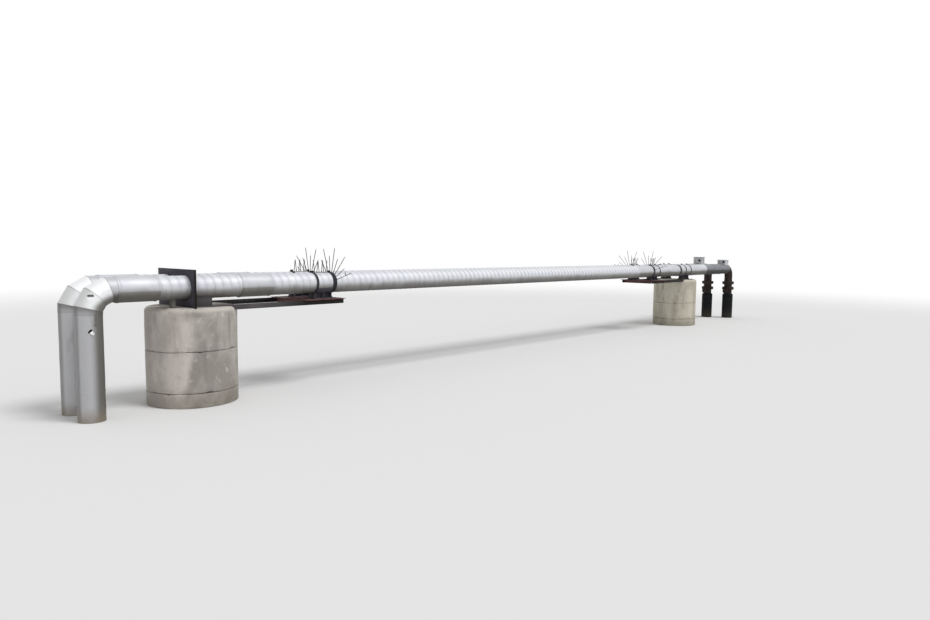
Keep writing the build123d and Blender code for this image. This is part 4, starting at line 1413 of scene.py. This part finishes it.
def spiral_jacket(node, side, material):
    """Duct wound from a strip with a folded seam, trimmed square at both ends."""
    first, start, end = winding_start(node), low(node).x - LAP, high(node).x + LAP
    half, foot = SEAM_WIDTH / 2, SEAM_WIDTH / 6
    ridge = SEAM_PITCH / 2
    strip = [
        (0, JACKET_R),
        (ridge - half - foot, JACKET_R),
        (ridge - half + foot, JACKET_R + SEAM_HEIGHT),
        (ridge + half - foot, JACKET_R + SEAM_HEIGHT),
        (ridge + half + foot, JACKET_R),
        (SEAM_PITCH, JACKET_R),
    ]
    mesh = bmesh.new()
    outline = [(first + x, r) for x, r in strip]
    travel = ALONG * (SEAM_PITCH / WOUND_STEPS)
    round_pipe(mesh, side, outline, steps=WOUND_STEPS, closed=False, travel=travel)
    repeated(mesh, math.ceil((end - first) / SEAM_PITCH), ALONG, SEAM_PITCH)
    cut(mesh, (start, 0, 0), -ALONG)
    cut(mesh, (end, 0, 0), ALONG)
    close_ends(mesh)
    piece(mesh, node + "_wound", material, [node])


def bead(station, radius, height=BEAD_HEIGHT):
    """Points of a swaged rib in an outline."""
    half = BEAD_WIDTH / 2
    turns = [TAU * number / 12 for number in range(6, -1, -1)]
    return [(station + half * math.cos(a), radius + height * math.sin(a)) for a in turns]


def sleeve_outline(start, end, radius, beads):
    """Closed outline of a jacket length with turned-in ends and ribs."""
    lip = 0.006
    outline = [(start, CORE_R), (start, JACKET_R - 0.004), (start, radius - lip), (start + lip, radius)]
    for station in beads:
        outline += bead(station, radius)
    return outline + [(end - lip, radius), (end, radius - lip), (end, JACKET_R - 0.004), (end, CORE_R)]


def long_lap(mesh, side, start, end, angle, radius):
    """Edge of a lengthwise lap and its rivets."""
    length = end - start
    matrix = on_pipe(side, (start + end) / 2, angle, radius + SHEET_GAUGE / 2)
    box(mesh, (length, LAP_EDGE, SHEET_GAUGE * 2), matrix)
    count = max(2, round(length / RIVET_SPACING))
    inset = 0.06 / radius
    for number in range(count):
        rivet(mesh, on_pipe(side, start + (number + 0.5) * length / count, angle - inset, radius))


def rivet_ring(mesh, side, station, radius, count):
    for number in range(count):
        rivet(mesh, on_pipe(side, station, TAU * (number + 0.3) / count, radius))


def joint_sleeves(side, material):
    """Smooth sleeves at the left bend and over the joint beyond the left frame."""
    mesh = bmesh.new()
    ends = (
        (SLEEVE_START, SLEEVE_END, (SLEEVE_START + COLLAR_OFFSET, SLEEVE_END - BEAD_INSET)),
        (MUFF_START, MUFF_END, (MUFF_START + BEAD_INSET, MUFF_END - BEAD_INSET)),
    )
    lap_angle = LAP_TURN * -OUTWARD[side]
    for start, end, beads in ends:
        round_pipe(mesh, side, sleeve_outline(start, end, SLEEVE_R, beads))
        long_lap(mesh, side, beads[0] + BEAD_WIDTH, beads[1] - BEAD_WIDTH, lap_angle, SLEEVE_R)
        rivet_ring(mesh, side, beads[1] - 0.03, SLEEVE_R, 8)
        rivet_ring(mesh, side, beads[0] + 0.03, SLEEVE_R, 8)
    piece(mesh, side + "_joint_sleeves_riveted", material, [side + "_joint_sleeves"])


def ringed_jacket(name, side, start, end, length, material):
    """Smooth jacket from short lengths, each lapped over the next with a rib at the joint."""
    node = f"{side}_{name}"
    count = max(1, round((end - start) / length))
    step = (end - start) / count
    outline = [(start, CORE_R), (start, SHEET_R)]
    joints = [start + number * step for number in range(1, count)]
    lapped, lip = SHEET_R + SHEET_GAUGE, 0.004
    for joint in joints:
        outline += [(joint - 0.030, SHEET_R), (joint - 0.0295, lapped)]
        outline += bead(joint, lapped, 0.0045)
        outline += [(joint + 0.22, SHEET_R)]
    outline += [(end - lip, SHEET_R), (end, SHEET_R - lip), (end, CORE_R)]
    mesh = bmesh.new()
    round_pipe(mesh, side, outline)
    for number, place in enumerate([start, *joints]):
        lap_angle = math.radians(100 + 9 * (number % 3)) * -OUTWARD[side]
        long_lap(mesh, side, place + 0.03, place + step - 0.035, lap_angle, SHEET_R)
        rivet_ring(mesh, side, place + 0.035, lapped, 6)
    piece(mesh, node + "_riveted", material, [node])


# The studio


def light():
    """Pale sky, darker as a light than it looks, and a wide sun from the right and above."""
    world = bpy.data.worlds.new("studio")
    bpy.context.scene.world = world
    world.use_nodes = True
    sky = Nodes(world.node_tree)
    rays = [sky.node("ShaderNodeLightPath", {}, {}, name) for name in ("Is Camera Ray", "Is Glossy Ray")]
    shown = rays[0].most(rays[1]).most(sky.node("ShaderNodeLightPath", {}, {}, "Is Transmission Ray"))
    background = world.node_tree.nodes["Background"]
    sky.feed(background.inputs["Color"], (1, 1, 1))
    sky.feed(background.inputs["Strength"], SKY_LIGHT + shown * (1 - SKY_LIGHT))
    sun = bpy.data.lights.new("sun", "SUN")
    sun.energy = SUN_LIGHT
    sun.angle = SUN_WIDTH
    lamp = bpy.data.objects.new("sun", sun)
    lamp.rotation_euler = Vector(SUN_FROM).to_track_quat("Z", "Y").to_euler()
    bpy.context.scene.collection.objects.link(lamp)


def pale_floor():
    """Floor that fades into the background with distance."""
    mesh = bmesh.new()
    bmesh.ops.create_circle(mesh, cap_ends=True, segments=96, radius=FLOOR_R)
    data = bpy.data.meshes.new("floor")
    mesh.to_mesh(data)
    mesh.free()
    floor = bpy.data.objects.new("floor", data)
    floor.location.z = FLOOR_Z
    bpy.context.scene.collection.objects.link(floor)
    pale = Finish("floor", (0.80, 0.80, 0.80), roughness=1.0, shine=0.0)
    x, y, _ = pale.parts(pale.place())
    far_away = (x * x + y * y).root().rise(*FLOOR_FADE)
    glow = pale.node("ShaderNodeEmission", {}, {"Color": (1, 1, 1), "Strength": 1.0})
    shader = Value(pale, pale.shader.outputs[0])
    mixed = pale.node("ShaderNodeMixShader", {}, {0: far_away, 1: shader, 2: glow})
    output = pale.tree.nodes["Material Output"]
    pale.tree.links.new(mixed.socket, output.inputs["Surface"])
    data.materials.append(pale.material)


def camera():
    """Where the photograph was taken from, with its lens, pitch and slight roll."""
    along, across, level = math.cos(HEADING), math.sin(HEADING), math.cos(PITCH)
    forward = Vector((along * level, across * level, -math.sin(PITCH)))
    right = Vector((across, -along, 0))
    above = right.cross(forward)
    tilted_right = right * math.cos(ROLL) + above * math.sin(ROLL)
    tilted_up = above * math.cos(ROLL) - right * math.sin(ROLL)
    view = bpy.data.cameras.new("camera")
    view.lens = LENS
    view.sensor_width = SENSOR_WIDTH
    view.clip_end = 2.5 * FLOOR_R
    made = bpy.data.objects.new("camera", view)
    gaze = Matrix((tilted_right, tilted_up, -forward)).transposed().to_4x4()
    made.matrix_world = at(*STANDPOINT) @ gaze
    bpy.context.scene.collection.objects.link(made)
    bpy.context.scene.camera = made


light()
pale_floor()
camera()
bpy.context.scene.view_settings.view_transform = "Standard"

PLAIN = {side: plain_sheet("_plain_sheet", side, PLAIN_COLOURS) for side in SIDES}
# Painted shadow: the darker sheet of the end lengths stands for a tree's shadow.
SHADED_END = {side: plain_sheet("_shaded_end_sheet", side, SHADED_END_COLOURS) for side in SIDES}
BEND = {side: bend_sheet(side) for side in SIDES}
# The last two numbers are the shares of painted light and painted shade on each pier's sides.
PIER_CONCRETE = {
    "left": concrete("left", (0.640, 0.595, 0.545), (0.330, 0.288, 0.262), 0.55, 0.55),
    "right": concrete("right", (0.590, 0.555, 0.460), (0.410, 0.375, 0.300), 0.0, 0.0),
}
DARK_PAINT = painted_steel("dark_paint", (0.028, 0.031, 0.036), 0.22)
PLATE_PAINT = painted_steel("plate_paint", (0.044, 0.041, 0.052), 0.24, 6.0, painted_shadow=plate_edge_shade)
FRAME_PAINT = painted_steel("frame_paint", (0.070, 0.064, 0.068), 0.30, painted_shadow=frame_tip_shadow)
DECK_PAINT = painted_steel("deck_paint", (0.120, 0.062, 0.060), 0.42, 7.0)
SHOE_PAINT = painted_steel("shoe_paint", (0.088, 0.086, 0.100), 0.22)
# Dark paint on the right legs, darker still as painted shade of a tree over them.
SHADED_LEG_PAINT = painted_steel("leg_paint", (0.024, 0.019, 0.018), 0.42, 12.0)
CARRIER_STEEL = painted_steel("carrier_steel", (0.120, 0.110, 0.102), 0.60)
TAPE = wrap_tape()
VENT_SHEET = vent_sheet()
PACKING = plain_finish("packing", (0.170, 0.165, 0.155), (0.110, 0.105, 0.100), 0.9)
WOOL = wool()
CLEAN_SHEET = plain_finish("clean_sheet", (0.880, 0.890, 0.910), (0.740, 0.745, 0.760), 0.4, SHEEN, 30.0)
SEALANT = plain_finish("sealant", (0.030, 0.029, 0.032), (0.050, 0.046, 0.046), 0.9)
STUD_STEEL = plain_finish("stud_steel", (0.095, 0.065, 0.050), (0.050, 0.030, 0.022), 0.65, 0.5, 30.0)

for side in SIDES:
    for node in (side + "_spiral_short", side + "_spiral_long"):
        spiral_jacket(node, side, spiral_sheet(side, winding_start(node)))
    joint_sleeves(side, PLAIN[side])
    ringed_jacket("sheet_jacket", side, BAND_X, SHEET_END, SHEET_LENGTH, PLAIN[side])
    jacket_end = high(side + "_end_jacket").x
    ringed_jacket("end_jacket", side, SHEET_END, jacket_end, END_LENGTH, SHADED_END[side])
    bend_jacket(side, BEND[side])
    riser(side, BEND[side])
    right_elbow(side, SHADED_LEG_PAINT)
    right_leg(side, SHADED_LEG_PAINT)
    paint(side + "_left_leg", CARRIER_STEEL)
    paint(side + "_carrier_pipe", CARRIER_STEEL)

tear_flap(CLEAN_SHEET)
insulation(NEAR, WOOL)
spools(SHADED_LEG_PAINT)
flange_studs(STUD_STEEL)
foot_wraps(TAPE)

for end in PIER_X:
    for part, seed in PIER_SEEDS[end].items():
        drum(f"{end}_pier_{part}", end, PIER_CONCRETE[end], seed, part == "cap")
    eased(end + "_frame_beams", FRAME_PAINT)
    deck = end + "_frame_deck"
    eased(deck, DECK_PAINT, extra=deck_bolts(deck))
    shoe_x = PIER_X[end] + TOWARDS_SPAN[end] * sum(STRAPS) / 2
    bolts = shoe_bolts(DECK_TOP, shoe_x, (STRAPS[1] - STRAPS[0]) / 2)
    eased(end + "_frame_shoes", SHOE_PAINT, 0.0015, bolts)
for end in PIER_X:
    frame_straps(end, DARK_PAINT)
saddle_x = PIER_X["right"] - sum(SADDLE_STRAPS) / 2
saddle_bolts = shoe_bolts(PIER_TOP, saddle_x, (SADDLE_STRAPS[1] - SADDLE_STRAPS[0]) / 2)
eased("pier_saddles", SHOE_PAINT, 0.0015, saddle_bolts)
pier_straps(DARK_PAINT)
eased("anchor_plate", PLATE_PAINT, 0.003)
plate_seals(SEALANT)
eased("anchor_saddles", FRAME_PAINT, 0.004)
eased("packing_block", PACKING, 0.004)
eased("vent_boxes", VENT_SHEET, 0.002, vent_fittings)
guards(DARK_PAINT)
